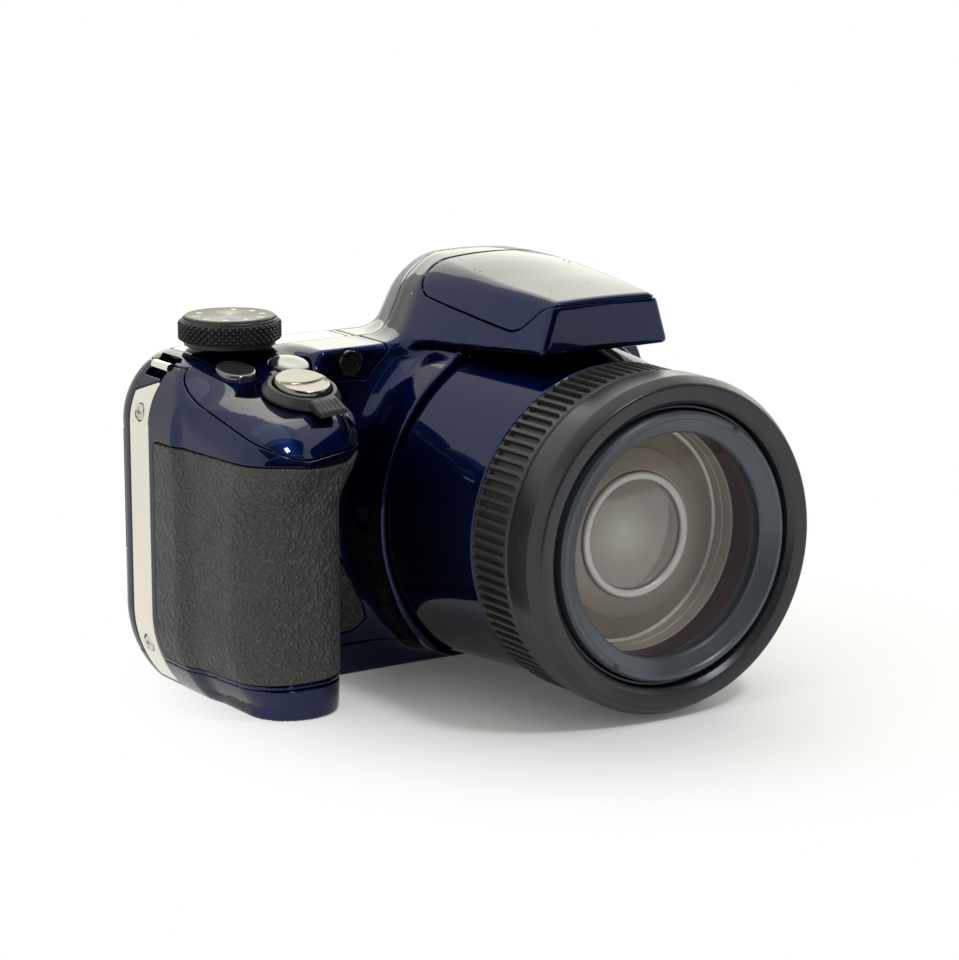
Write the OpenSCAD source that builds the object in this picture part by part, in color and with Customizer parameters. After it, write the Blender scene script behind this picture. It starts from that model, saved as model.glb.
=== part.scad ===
// Bridge camera with a telescoping zoom lens, a pop-up flash and a deep hand grip.
// Frame: +Z up, the lens looks along -Y, the grip is on the -X side.
// Origin: centre of the tripod socket's mouth, on the base plane. The lens axis is at x = 0.
// A "reach" is a distance in front of the tripod axis, so a point at reach 80 has y = -80.

/* [Body] */
// Lens axis to the grip side
grip_side = 81.5; // [78:0.5:86]
// Lens axis to the plain side
plain_side = 41.5; // [40:0.5:50]
// Reach of the front face
front_face = 12; // [11:0.5:14]
// Tripod axis to the rear face
rear_face = 16; // [15.5:0.5:20]
// Height of the deck
deck_z = 73; // [72:0.5:78]
// Wall of every cover
wall = 2; // [1.6:0.1:2.2]
// Radius of the long bulge at the foot of each side
low_corner_r = 25; // [22:1:30]
// Height where that bulge begins
low_corner_z = 18; // [14:1:20]
// Radius of the bulge at the top of each side
top_corner_r = 16; // [15:1:20]
// Depth below the deck where the top bulge begins
top_corner_drop = 15; // [10:0.5:15]
// Rounding of the rear edges
rear_r = 5; // [3:0.5:7]
// Rounding of the front edges
front_r = 2; // [1:0.5:3]
// Height of the bottom cover
base_h = 7; // [6.5:0.1:8]
// Plane behind the tripod axis where the front and rear covers part
parting_y = 1; // [0.5:0.1:1.5]
// Gap left between neighbouring covers
seam = 0.15; // [0.1:0.05:0.25]

/* [Grip] */
// Reach of the grip
grip_reach = 38; // [36:0.5:42]
// Reach of its nose
nose_reach = 43.5; // [42:0.5:47]
// Rounding of the grip in plan
grip_r = 10; // [8:0.5:11]
// Lens axis to the centre of the grip's inner front rounding
grip_inner = 62.5; // [60:0.5:63]
// Lens axis to the centre of the nose's inner front rounding
nose_inner = 57.4; // [56:0.2:60]
// Height of the nose's lower edge
nose_z = 57; // [55.5:0.5:60]
// Height where the grip begins to swell towards the nose
swell_z = 44; // [40:1:48]
// Thickness of the rubber skin
rubber_t = 1.4; // [1:0.1:1.5]
// Height of the rubber's lower edge
rubber_low = 8.2; // [8:0.1:10]
// Height of the rubber's upper edge
rubber_top = 55; // [50:0.5:55]

/* [Deck] */
// Angle at which the deck falls towards the nose
slope = 15; // [12:0.5:17]
// Rounding of the nose's upper edge
nose_r = 4.2; // [3:0.1:4.3]
// Radius of the mode dial
dial_r = 10.2; // [9:0.1:10.6]
// Height of the mode dial
dial_h = 6; // [5:0.1:7]
// Grip side to the dial's axis
dial_in = 22.5; // [22:0.5:26]
// Radius of the shutter button
shutter_r = 6.1; // [5.5:0.1:6.4]
// Reach of the shutter button
shutter_reach = 24.5; // [24:0.5:26]
// Grip side to the shutter button's axis
shutter_in = 24; // [23:0.5:25]
// Travel of the shutter button
shutter_travel = 0.8; // [0.5:0.1:1]
// Radius of the two deck buttons
deck_key_r = 4.3; // [3.5:0.1:4.6]
// Travel of the deck buttons
deck_key_travel = 0.5; // [0.3:0.1:0.6]
// Radius of the focus lamp
lamp_r = 2.9; // [2:0.05:3]
// Width of the bright band across the deck and down the sides
band_w = 9; // [8:0.2:9.2]
// Thickness of that band
band_t = 1.1; // [0.8:0.1:1.2]

/* [Hump] */
// Height of the hump's crest
crest_z = 91; // [89:0.5:94]
// Reach of the hump
hump_reach = 54; // [52:0.5:56]
// Half width of the hump's foot at its front
hump_front = 16.7; // [15:0.1:18]
// Half width of the hump's foot at its crest
hump_foot = 27.5; // [26.5:0.5:29]
// Height of the overhang's lower edge at its front
overhang_z = 74.8; // [74:0.1:76]
// Thickness of the flash lid
lid_t = 1.5; // [1.2:0.1:1.7]
// Reach of the flash hinge
flash_hinge = 23; // [22:0.5:25]
// Radius of the lid's rounded heel
heel_r = 4.8; // [4.6:0.1:5]

/* [Lens] */
// Height of the lens axis
lens_z = 37; // [36.8:0.1:39]
// Reach of the bezel
lens_reach = 80; // [78:0.5:85]
// Radius of the bezel
bezel_r = 36; // [35.5:0.1:36.4]
// Radius of the bezel's opening
bezel_bore = 30.1; // [30:0.05:30.4]
// Length of the bezel
bezel_l = 10.8; // [9:0.1:12]
// Length of the ribbed ring
rib_l = 13; // [11:0.5:14]
// Ribs on the ribbed ring
ribs = 100; // [80:2:110]
// Height of a rib
rib_h = 1.3; // [0.8:0.1:1.5]
// Radius of the front cover's neck
neck_r = 40.2; // [39.8:0.1:40.6]
// Reach of the neck
neck_reach = 28; // [26:0.5:30]
// Wall of the lens shroud
shroud_t = 2.6; // [2.2:0.1:2.8]
// Radius of the front glass
glass_r = 23.9; // [22:0.1:25]
// Radius of the second glass
second_r = 13.6; // [12:0.1:15]
// Radius of the rear glass
rear_glass_r = 9; // [7:0.5:11]
// Wall of the sliding tubes
tube_t = 0.7; // [0.5:0.05:0.8]
// Gap between sliding tubes
slide_gap = 0.35; // [0.3:0.05:0.4]
// Travel of the middle barrel
middle_travel = 18; // [12:1:20]
// Travel of the inner barrel in the middle barrel
inner_travel = 14; // [10:1:16]
// Teeth on the cam ring
ring_teeth = 84; // [83:1:84]
// Teeth on the drive gear
gear_teeth = 10; // [9:1:12]
// Pitch diameter of a gear for each of its teeth
gear_module = 0.8; // [0.79:0.01:0.8]

/* [Base] */
// Radius of the tripod thread's hole
tripod_r = 2.55; // [2.4:0.05:2.6]
// Depth of the tripod thread
tripod_l = 6; // [5:0.5:6.5]
// Thickness of the battery door
door_t = 2.4; // [2.3:0.1:2.6]
// Travel of the door's latch
latch_travel = 2.5; // [2:0.1:3]
// Clearance round doors, buttons and levers
play = 0.3; // [0.2:0.05:0.4]
// Battery thickness
battery_t = 10; // [8:0.5:10]
// Battery depth
battery_d = 33; // [30:0.5:33]
// Battery height
battery_h = 41; // [36:1:44]
// Memory card thickness
card_t = 2.1; // [1.4:0.1:2.1]
// Memory card depth
card_d = 24; // [20:0.5:24]
// Memory card height
card_h = 32; // [28:1:34]

/* [Rear] */
// Width of the screen's window
screen_w = 66; // [60:1:68]
// Height of the screen's window
screen_h = 50; // [44:1:52]
// Radius of the four-way control
pad_r = 9; // [8:0.5:10]
// Radius of the button in its middle
ok_r = 3.6; // [3:0.1:4]
// Radius of the small rear buttons
key_r = 3.2; // [2.5:0.1:3.6]
// How far rear buttons stand proud
key_proud = 1; // [0.7:0.1:1.2]
// Travel of the rear buttons
key_travel = 0.6; // [0.4:0.1:0.6]
// Height of the port door
port_h = 27; // [22:1:28]

/* [Hidden] */
$fn = 32;
far = 200;          // larger than the camera
slice = 0.02;       // thickness of a slice in a hull
join = 0.05;        // overlap that joins solids of one piece
turn_fn = 96;       // facets of large turned pieces
run = 0.05;         // running clearance of a pin in its bore

blue = [0.05, 0.07, 0.2];
black = [0.06, 0.06, 0.07];
dark = [0.16, 0.16, 0.17];
steel = [0.75, 0.75, 0.76];
green = [0.08, 0.3, 0.16];

// Side and plan of the grip
top_corner_z = deck_z - top_corner_drop;
foot_h = 6;         // height of the rounding at the grip's foot
foot_in = 3.2;      // depth of that rounding
grip_back = 4;      // the grip's plan ends this far behind the tripod axis
grip_flat = 3;      // lean of the grip's outer flank
grip_root = 52;     // lens axis to the plan's inner rear corner
nose_root = 45;     // the same at the nose
arc_steps = 6;      // steps in a rounded corner of the plan
grip_levels = 16;   // outlines in the grip's stack

function bulge(r, d) = r - sqrt(r * r - d * d);
function side(z) = grip_side
    - (z < low_corner_z ? bulge(low_corner_r, low_corner_z - z)
    : z > top_corner_z ? bulge(top_corner_r, z - top_corner_z) : 0);
function ease(t) = let (u = min(1, max(0, t))) u * u * (3 - 2 * u);
function mix(a, b, t) = a + (b - a) * t;
function foot_inset(z) = z < foot_h ? foot_in * pow(1 - z / foot_h, 2) : 0;
function grip_plan(z) =
    let (swell = ease((z - swell_z) / (nose_z - swell_z)), outer = grip_r - side(z))
    [[outer, grip_back],
     [outer + grip_flat, grip_r - mix(grip_reach, nose_reach, swell)],
     [max(outer + grip_flat + 1, -mix(grip_inner, nose_inner, swell)), grip_r - grip_reach],
     [-mix(grip_root, nose_root, swell), grip_back]];
function edge_angle(p, q) = atan2(p[0] - q[0], q[1] - p[1]);
// Outline of a polygon rolled round by a disc of radius r
function rounded(points, r) = [
    for (i = [0:len(points) - 1])
    let (p = points[i],
        before = points[(i + len(points) - 1) % len(points)],
        after = points[(i + 1) % len(points)],
        start = edge_angle(before, p),
        turn = (edge_angle(p, after) - start + 720) % 360)
    for (k = [0:arc_steps])
    let (a = start + turn * k / arc_steps)
    p + r * [cos(a), sin(a)]];
function grip_outline(z, inset) = rounded(grip_plan(z), grip_r - foot_inset(z) - inset);
function grip_height(i) = nose_z * pow(i / grip_levels, 1.5);

// Skin through a stack of level outlines
module loft(rings, heights) {
    n = len(rings[0]);
    top = len(rings) - 1;
    points = [for (i = [0:top]) for (p = rings[i]) [p[0], p[1], heights[i]]];
    base = [for (j = [0:n - 1]) j];
    roof = [for (j = [n - 1:-1:0]) top * n + j];
    sides = [for (i = [0:top - 1]) for (j = [0:n - 1])
        let (a = i * n + j, b = i * n + (j + 1) % n)
        each [[a, a + n, b + n], [a, b + n, b]]];
    polyhedron(points, concat([base], sides, [roof]));
}

module grip_loft(inset)
    loft([for (i = [0:grip_levels]) grip_outline(grip_height(i), inset)],
        [for (i = [0:grip_levels]) grip_height(i)]);

// Slanted deck: a plan outline laid on the slope, a depth below it
deck_tan = tan(slope);
function slope_z(y) = deck_z + deck_tan * min(y, 0);
module lay_on_slope(depth)
    multmatrix([[1, 0, 0, 0], [0, 1, 0, 0], [0, deck_tan, 1, deck_z - depth], [0, 0, 0, 1]])
    linear_extrude(slice) children();
module on_slope(x, y) translate([x, y, slope_z(y)]) rotate([slope, 0, 0]) children();

nose_lap = 0.4;     // the nose begins this far inside the grip
module nose(inset) hull() {
    translate([0, 0, nose_z - nose_lap]) linear_extrude(slice)
        polygon(grip_outline(nose_z, inset + join));
    r = max(0.5, nose_r - inset);
    for (a = inset > 0 ? [0, 90] : [0, 30, 60, 90])
        lay_on_slope(inset + r * (1 - cos(a)))
        polygon(grip_outline(nose_z, inset + join + r * (1 - sin(a))));
}

// Outline of the body seen from the front
module side_outline(inset, fn = 48)
    offset(r = front_r, $fn = 16) offset(delta = -front_r - inset) intersection() {
        hull() {
            for (x = [low_corner_r - grip_side, plain_side - low_corner_r])
                translate([x, low_corner_z]) circle(low_corner_r, $fn = fn);
            for (x = [top_corner_r - grip_side, plain_side - top_corner_r])
                translate([x, top_corner_z]) circle(top_corner_r, $fn = fn);
        }
        translate([-grip_side, 0]) square([grip_side + plain_side, deck_z]);
    }
module outline_prism(inset, y0, y1, fn = 48)
    translate([0, y1, 0]) rotate([90, 0, 0]) linear_extrude(y1 - y0) side_outline(inset, fn);

module body_slice(y, inset) translate([0, y, 0]) rotate([90, 0, 0]) linear_extrude(slice)
    side_outline(inset);
slope_end = 46.2;   // lens axis to the end of the slanted deck
deck_lap = 0.07;    // the slab stands this much above the nose
module slab(inset) difference() {
    hull() {
        rear = max(0.5, rear_r - inset);
        front = max(0.5, front_r - inset);
        for (a = [0, 45, 90])
            body_slice(rear_face - inset - rear * (1 - sin(a)), inset + rear * (1 - cos(a)));
        for (a = inset > 0 ? [0, 90] : [0, 45, 90])
            body_slice(inset - front_face + front * (1 - sin(a)), inset + front * (1 - cos(a)));
    }
    on_slope(-slope_end + inset - far, 0) translate([0, -far, deck_lap - inset]) cube([far, far, far]);
}

module grip(inset) intersection() {
    union() {
        grip_loft(inset);
        nose(inset);
    }
    outline_prism(inset + join, -far, grip_back, 44);
}

// Hump over the lens: half foot, half roof, foot height, roof height and rounding at a reach
hump_roof_front = 13.2;
hump_roof_rear = 18.5;
hump_brow_z = crest_z - 5;
hump_sink = 7;      // depth of the rear hump's foot below the deck
module hump_slice(reach, inset, foot, roof, low, high, r)
    let (inner = max(0.5, r - inset))
    translate([0, -reach, 0]) rotate([90, 0, 0]) linear_extrude(slice)
    offset(r = inner) offset(delta = -inner - inset)
    polygon([[-foot, low], [foot, low], [roof, high], [-roof, high]]);
module hump(inset) {
    waist = front_face;
    waist_foot = hump_foot - 2;
    hull() {
        hump_slice(hump_reach - inset, inset + 0.8, hump_front, hump_roof_front, overhang_z,
            hump_brow_z, 2);
        hump_slice(hump_reach - inset - 1.5, inset, hump_front, hump_roof_front, overhang_z,
            hump_brow_z + 0.2, 3);
        hump_slice(waist, inset, waist_foot, hump_roof_rear - 0.5, overhang_z - 2.2, crest_z - 0.3, 8);
    }
    hull() {
        low = deck_z - hump_sink;
        hump_slice(waist, inset, waist_foot, hump_roof_rear - 0.5, low, crest_z - 0.3, 8);
        hump_slice(4, inset, hump_foot, hump_roof_rear, low, crest_z, 8);
        hump_slice(-6, inset, hump_foot - 0.5, hump_roof_rear - 0.5, low, crest_z - 1, 8);
        hump_slice(inset + 3 - rear_face, inset, hump_foot - 2, hump_roof_rear - 2, low, crest_z - 4, 7);
        hump_slice(inset - rear_face, inset + 2, hump_foot - 2, hump_roof_rear - 2, low, crest_z - 4, 6);
    }
}

// Everything turned about the lens axis: a profile is a list of [radius, reach]
module at_lens() translate([0, 0, lens_z]) rotate([90, 0, 0]) children();
module lens_turn(profile) at_lens() rotate_extrude($fn = turn_fn) polygon(profile);
module above(z) translate([-far, -far, z]) cube(2 * far);

neck_flare = 4;     // growth of the neck where it meets the front face
module neck(inset) intersection() {
    union() {
        at_lens() cylinder(r = neck_r - inset, h = neck_reach - inset, $fn = turn_fn);
        intersection() {
            at_lens() cylinder(r1 = neck_r + neck_flare + front_face - inset, r2 = neck_r - inset - join,
                h = front_face + neck_flare, $fn = turn_fn);
            outline_prism(inset + 2 * join, -far, 0, 40);
        }
    }
    above(inset);
}

module form(inset) {
    slab(inset);
    grip(inset);
    hump(inset);
    neck(inset);
}

// Zones that share the skin out among the covers
seam_z = 59.5;              // height of the grip's cover seam over the tripod axis
seam_side_fall = 0.166;     // its fall towards the plain side
seam_front_fall = 0.306;    // its fall towards the nose
deck_rim = 3.5;             // depth of the top cover's rim behind the parting plane
top_end = -hump_foot - 1;   // the top cover ends beside the hump
module top_zone(gap) difference() {
    intersection() {
        union() {
            multmatrix([[1, 0, 0, 0], [0, 1, 0, 0],
                [-seam_side_fall, seam_front_fall, 1, seam_z + gap], [0, 0, 0, 1]])
                translate([-far, -far, 0]) cube([2 * far, far + parting_y, far]);
            translate([-far, parting_y - join, deck_z - deck_rim + gap]) cube(2 * far);
        }
        translate([top_end - gap - far, -far, 0]) cube([far, 2 * far, far]);
    }
    at_lens() cylinder(r = neck_r + neck_flare + 0.5 + gap, h = far, $fn = turn_fn);
}
module rear_zone() translate([-far, parting_y, -far]) cube(2 * far);
module base_zone(gap) translate([-far, -far, base_h + gap - far]) cube([2 * far, 2 * far, far]);
module skin() difference() {
    form(0);
    form(wall);
}

// Rubber skin on the grip
rubber_inner = 43;
rubber_back = 2;
module rubber_zone(gap)
    translate([0, 0, rubber_low - gap]) linear_extrude(rubber_top - rubber_low + 2 * gap)
    offset(delta = gap) polygon([
        [-grip_side - 5, -rubber_back], [-grip_side + grip_r, -rubber_back],
        [-grip_side + grip_r, -front_face - 0.4], [-rubber_inner, -front_face - 0.4],
        [-rubber_inner, -far], [-grip_side - 5, -far]]);
module grip_rubber() color(dark) difference() {
    intersection() {
        grip_loft(0);
        rubber_zone(0);
    }
    grip_loft(rubber_t);
}
module rubber_recess() difference() {
    rubber_zone(seam);
    grip_loft(rubber_t + seam / 2);
}

// Lens shroud, the cone between the neck and the ribbed ring
shroud_rear_r = neck_r - 1.6;
shroud_front_r = bezel_r - 0.5;
shroud_back = front_face + 0.5;
rib_front = lens_reach - bezel_l;
rib_rear = rib_front - rib_l;
spigot_out = bezel_r - 3.6;
spigot_t = 0.9;
shroud_floor = 0.5;
module shroud_core(grow) lens_turn([
    [0, shroud_back - seam], [shroud_rear_r + grow, shroud_back - seam],
    [shroud_rear_r + grow, neck_reach], [shroud_front_r + grow, rib_rear], [0, rib_rear]]);
module lens_shroud() color(blue) intersection() {
    lens_turn([
        [shroud_rear_r, shroud_back], [shroud_rear_r, neck_reach], [shroud_front_r, rib_rear],
        [spigot_out, rib_rear], [spigot_out, rib_front], [spigot_out - spigot_t, rib_front],
        [spigot_out - spigot_t, rib_rear - shroud_t], [shroud_front_r - shroud_t, rib_rear - shroud_t],
        [shroud_rear_r - shroud_t, neck_reach], [shroud_rear_r - shroud_t, shroud_back]]);
    above(shroud_floor);
}

// Flash lid and its hinge
hinge_z = crest_z - 5.5;
cheek_reach = 46;
cheek_z = overhang_z + 4.7;
lid_front_z = overhang_z + 10;
module lid_zone(gap) {
    translate([-far, 0, 0]) rotate([90, 0, 90]) linear_extrude(2 * far) {
        offset(delta = gap) polygon([
            [-flash_hinge, hinge_z - heel_r / 2], [-cheek_reach, cheek_z],
            [-hump_reach - 1, lid_front_z], [-hump_reach - 1, far], [-flash_hinge, far]]);
        translate([-flash_hinge, hinge_z]) circle(heel_r + gap, $fn = 48);
    }
}

// Posts that carry the chassis, and the screws of the base
chassis_y = 2;
chassis_t = 1.2;
post_r = 2.4;
post_x = [-40, plain_side - 6.5];
post_gap = 0.05;
post_z = [13, deck_z - 17];
module post(x, z, y0, y1) hull() {
    translate([x, y0, z]) rotate([-90, 0, 0]) cylinder(r = post_r, h = y1 - y0);
    translate([x - post_r, y0 < 0 ? y0 : y1 - 1, z - post_r]) cube([2 * post_r, 1, 2 * post_r]);
}

// Controls of the deck
dial_x = dial_in - grip_side;
dial_y = 3;
dial_gap = 0.6;
spindle_r = 3;
spindle_l = 5;
shutter_x = shutter_in - grip_side;
lever_r = shutter_r + 2.3;
lever_h = 2.4;
collar_r = shutter_r + play + 0.9;
collar_l = wall + 1.5;
key_row = 10;                   // reach of the deck buttons
burst_x = dial_x - 6;
exposure_x = dial_x + 7.4;
lamp_x = top_end - 9.5;
lamp_z = deck_z - 3.4;
module top_holes() {
    translate([dial_x, dial_y, deck_z - wall - 3]) cylinder(r = spindle_r + play, h = far);
    on_slope(shutter_x, -shutter_reach) translate([0, 0, -8]) cylinder(r = collar_r + play, h = 16);
    for (x = [burst_x, exposure_x])
        on_slope(x, -key_row) translate([0, 0, -5]) cylinder(r = deck_key_r + play, h = 12);
    translate([lamp_x, -front_face + wall + 1, lamp_z]) rotate([90, 0, 0])
        cylinder(r = lamp_r + play / 3, h = far);
}

// Bright band: a strip of the side's own outline
band_y0 = parting_y + 0.3;
lug_z = deck_z - 6.5;           // top of the side strips, below the strap lugs
module band_ring(gap) difference() {
    outline_prism(-join, band_y0 - gap, band_y0 + band_w + gap);
    outline_prism(band_t + gap, -far, far);
}
module band_part(gap) difference() {
    outline_prism(0, band_y0 - gap, band_y0 + band_w + gap);
    outline_prism(band_t + gap, -far, far);
}
strip_low = 1.2;
module strip_box(gap, sign) translate([sign > 0 ? plain_side / 2 : -far, -far, strip_low - gap])
    cube([sign > 0 ? far : far - grip_side / 2, 2 * far, lug_z - 4 - strip_low + 2 * gap]);
band_in = 12;
module top_band_box(gap) translate([-grip_side + band_in - gap, -far, deck_z - 2 * band_t])
    cube([grip_side - band_in + top_end - 2 + 2 * gap, 2 * far, far]);

// Strap lugs: a bar across a notch near the top of each side
lug_y0 = band_y0 + 0.5;
lug_l = 7;
lug_r = 1.1;
lug_h = 6;
lug_depth = 6.5;
lug_bar_z = lug_z - 0.4;
module lug_notch(sign) {
    x0 = sign > 0 ? plain_side - lug_depth : -grip_side - far;
    translate([x0, lug_y0, lug_bar_z - lug_h / 2]) cube([far + lug_depth, lug_l, lug_h]);
}
pocket_t = 1.2;
module lug_pocket(sign) intersection() {
    slab(join);
    x0 = sign > 0 ? plain_side - lug_depth - pocket_t : -grip_side - far;
    y0 = parting_y + seam;
    z0 = lug_bar_z - lug_h / 2 - pocket_t;
    translate([x0, y0, z0])
        cube([far + lug_depth + pocket_t, lug_y0 + lug_l + pocket_t - y0, deck_z - deck_rim - 0.1 - z0]);
}
function lug_x(sign) = sign * ((sign > 0 ? plain_side : grip_side) - bulge(top_corner_r,
    lug_bar_z - top_corner_z) - lug_r);

// Screws of the side strips
strip_screw_z = [10, lug_z - 4.7];
screw_r = 0.9;
screw_head_r = 1.8;
screw_head_h = 1.1;
screw_l = 5;
function strip_face(z) = bulge(z < low_corner_z ? low_corner_r : top_corner_r,
    max(0, low_corner_z - z, z - top_corner_z));
module side_screw_at(sign, z)
    translate([sign * ((sign > 0 ? plain_side : grip_side) - strip_face(z) + 0.2), band_y0 + band_w / 2, z])
    rotate([0, sign > 0 ? -90 : 90, 0]) children();
module side_screw(gap) {
    translate([0, 0, -gap * 4]) cylinder(r = screw_head_r + gap, h = screw_head_h + 4 * gap);
    cylinder(r = screw_r + gap, h = screw_head_h + screw_l + gap);
}
module side_screw_set(gap) for (sign = [-1, 1]) for (z = strip_screw_z)
    side_screw_at(sign, z) side_screw(gap);

// Covers
module front_cover() color(blue) {
    difference() {
        skin();
        rear_zone();
        base_zone(seam);
        top_zone(0);
        shroud_core(seam);
        lid_zone(play);
        rubber_recess();
    }
    for (z = post_z) post(post_x[1], z, -front_face + wall - join, chassis_y - post_gap);
}

module top_cover() color(blue) difference() {
    intersection() {
        skin();
        top_zone(seam);
    }
    top_holes();
    intersection() {
        band_ring(seam / 2);
        top_band_box(seam / 2);
    }
    lug_notch(-1);
}

port_z = low_corner_z + 11.5;
port_y = band_y0 + band_w + 1.2;
port_r = 0.75;
port_t = 1.5;
port_x = -grip_side + port_r + 0.05;
port_reach = 4.4;           // the port door ends on a circle about its hinge
module port_zone(gap) translate([port_x, port_y, port_z - gap]) {
    intersection() {
        cylinder(r = port_reach + gap, h = port_h + 2 * gap, $fn = 48);
        translate([-far, 0, -1]) cube([2 * far, far, far]);
    }
    cylinder(r = port_r + gap, h = port_h + 2 * gap);
}
port_mouth = 5;             // how far the opening behind the port door goes in
module port_opening() translate([-grip_side, port_y + 0.3, port_z + 2])
    cube([port_mouth, rear_face - wall - port_y - 0.4, port_h - 4]);

screen_x = plain_side - 9 - screen_w / 2;
screen_z = lens_z;
panel_lip = 2;              // the screen panel is this much larger than its window
keys_half = (grip_side + screen_x - screen_w / 2 - panel_lip) / 2;  // half the room beside the screen
pad_shift = 4.5;            // the four-way control stands this far towards the screen
key_edge = 12;              // room kept beyond the outer keys
key_spread = keys_half - key_edge;
key_rise = 17;
video_rise = 30;
video_in = 2;
pad_drop = 5;
pad_x = keys_half + pad_shift - grip_side;
pad_z = lens_z - pad_drop;
key_flange = 0.8;
menu_at = [pad_x - key_spread, pad_z + key_rise];
play_at = [pad_x + key_spread, pad_z + key_rise];
delete_at = [pad_x - key_spread, pad_z - key_rise];
video_at = [pad_x + key_spread - video_in, pad_z + video_rise];
module at_rear(p) translate([p[0], rear_face, p[1]]) rotate([-90, 0, 0]) children();
module rear_hole(p, r) at_rear(p) translate([0, 0, -wall - 4]) cylinder(r = r + play, h = wall + 8);
module rear_cover() color(blue) {
    difference() {
        union() {
            difference() {
                skin();
                translate([-far, parting_y + seam - 2 * far, -far]) cube(2 * far);
                base_zone(seam);
                top_zone(0);
            }
            for (sign = [-1, 1]) lug_pocket(sign);
        }
        for (sign = [-1, 1]) {
            intersection() {
                band_ring(seam / 2);
                strip_box(seam / 2, sign);
            }
            lug_notch(sign);
        }
        side_screw_set(play / 2);
        difference() {
            port_zone(play);
            slab(port_t + play);
        }
        port_opening();
        translate([screen_x - screen_w / 2 - play, rear_face - wall - 1, screen_z - screen_h / 2 - play])
            cube([screen_w + 2 * play, far, screen_h + 2 * play]);
        rear_hole([pad_x, pad_z], pad_r);
        for (p = [menu_at, play_at, delete_at, video_at]) rear_hole(p, key_r);
    }
    for (z = post_z) post(post_x[0], z, chassis_y + chassis_t + post_gap, rear_face - wall + join);
}

// Battery door in the base, hinged along its outer edge
knuckle_r = door_t / 2;
door_pin_r = 0.6;
door_axis_x = -grip_side + 13.5;
door_y0 = -29;
door_y1 = 9;
door_front_x = -56;
door_rear_x = -50.3;
pin_over = 2.2;
module door_plan(grow) polygon([
    [door_axis_x, door_y0 - grow], [door_front_x + grow, door_y0 - grow],
    [door_rear_x + grow, door_y1 + grow], [door_axis_x, door_y1 + grow]]);
module door_zone(gap) {
    translate([0, 0, -1]) linear_extrude(door_t + 1 + gap) door_plan(gap);
    end = gap - slice;
    translate([door_axis_x, door_y0 - end, knuckle_r]) rotate([-90, 0, 0])
        cylinder(r = knuckle_r + gap, h = door_y1 - door_y0 + 2 * end);
    translate([door_axis_x - knuckle_r - gap, door_y0 - end, -1])
        cube([knuckle_r + gap + slice, door_y1 - door_y0 + 2 * end, knuckle_r + 1]);
}
latch_y = -8;
latch_w = 8;
latch_pad_l = 5;
latch_stem_l = 2;
latch_stem_w = 4;
latch_recess = 0.9;
latch_edge = mix(door_front_x, door_rear_x, (latch_y - latch_w / 2 - door_y0) / (door_y1 - door_y0));
latch_x = latch_edge - 2.6 - latch_travel - latch_pad_l;
module battery_door() color(blue) difference() {
    union() {
        linear_extrude(door_t) door_plan(0);
        translate([door_axis_x, door_y0, knuckle_r]) rotate([-90, 0, 0])
            cylinder(r = knuckle_r, h = door_y1 - door_y0);
    }
    translate([door_axis_x, door_y0 - 1, knuckle_r]) rotate([-90, 0, 0])
        cylinder(r = door_pin_r + run, h = door_y1 - door_y0 + 2);
    translate([latch_x - play, latch_y - latch_w / 2 - play, -1])
        cube([latch_pad_l + latch_travel + 2 * play, latch_w + 2 * play, latch_recess + 1]);
    translate([latch_x - play, latch_y - latch_stem_w / 2 - play, -1])
        cube([latch_stem_l + latch_travel + 2 * play, latch_stem_w + 2 * play, door_t + 2]);
}
module door_latch() color(dark) {
    translate([latch_x, latch_y - latch_w / 2, 0.1]) cube([latch_pad_l, latch_w, latch_recess - 0.3]);
    translate([latch_x, latch_y - latch_stem_w / 2, 0.3])
        cube([latch_stem_l, latch_stem_w, door_t + 0.5]);
    translate([latch_x, latch_y - latch_w / 2, door_t + play])
        cube([latch_edge - 0.4 - latch_x, latch_w, 0.8]);
}
module door_hinge_pin() color(steel)
    translate([door_axis_x, door_y0 - pin_over, knuckle_r]) rotate([-90, 0, 0])
    cylinder(r = door_pin_r, h = door_y1 - door_y0 + 2 * pin_over);

base_screw_x = plain_side - 11;
base_screw_at = [[-44, -6], [-44, rear_face - 6], [base_screw_x, -6], [base_screw_x, rear_face - 6]];
base_post_r = 2.8;
socket_r = tripod_r + 2.4;
module bottom_cover() color(blue) difference() {
    union() {
        intersection() {
            skin();
            base_zone(0);
        }
        for (p = base_screw_at) translate([p[0], p[1], wall - join])
            cylinder(r = base_post_r, h = base_h - wall - 1);
        translate([0, 0, wall - join]) cylinder(r = socket_r + 0.9, h = tripod_l - wall);
        for (y = [door_y0 - play - pin_over, door_y1]) hull() {
            boss_l = pin_over + play;
            translate([door_axis_x, y, knuckle_r]) rotate([-90, 0, 0])
                cylinder(r = knuckle_r, h = boss_l);
            translate([door_axis_x - knuckle_r, y, 0.5]) cube([2 * knuckle_r, boss_l, 1.6]);
        }
    }
    shroud_core(seam);
    door_zone(play);
    translate([door_axis_x, door_y0 - pin_over - play, knuckle_r]) rotate([-90, 0, 0])
        cylinder(r = door_pin_r + run, h = door_y1 - door_y0 + 2 * pin_over + 2 * play);
    translate([0, 0, -1]) cylinder(r = socket_r + run, h = far);
    for (p = base_screw_at) translate([p[0], p[1], 0]) {
        translate([0, 0, -1]) cylinder(r = screw_r + run, h = far);
        translate([0, 0, -1]) cylinder(r = screw_head_r + run, h = 1 + screw_head_h + run);
    }
    for (sign = [-1, 1]) intersection() {
        band_ring(seam / 2);
        strip_box(seam / 2, sign);
    }
}
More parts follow.
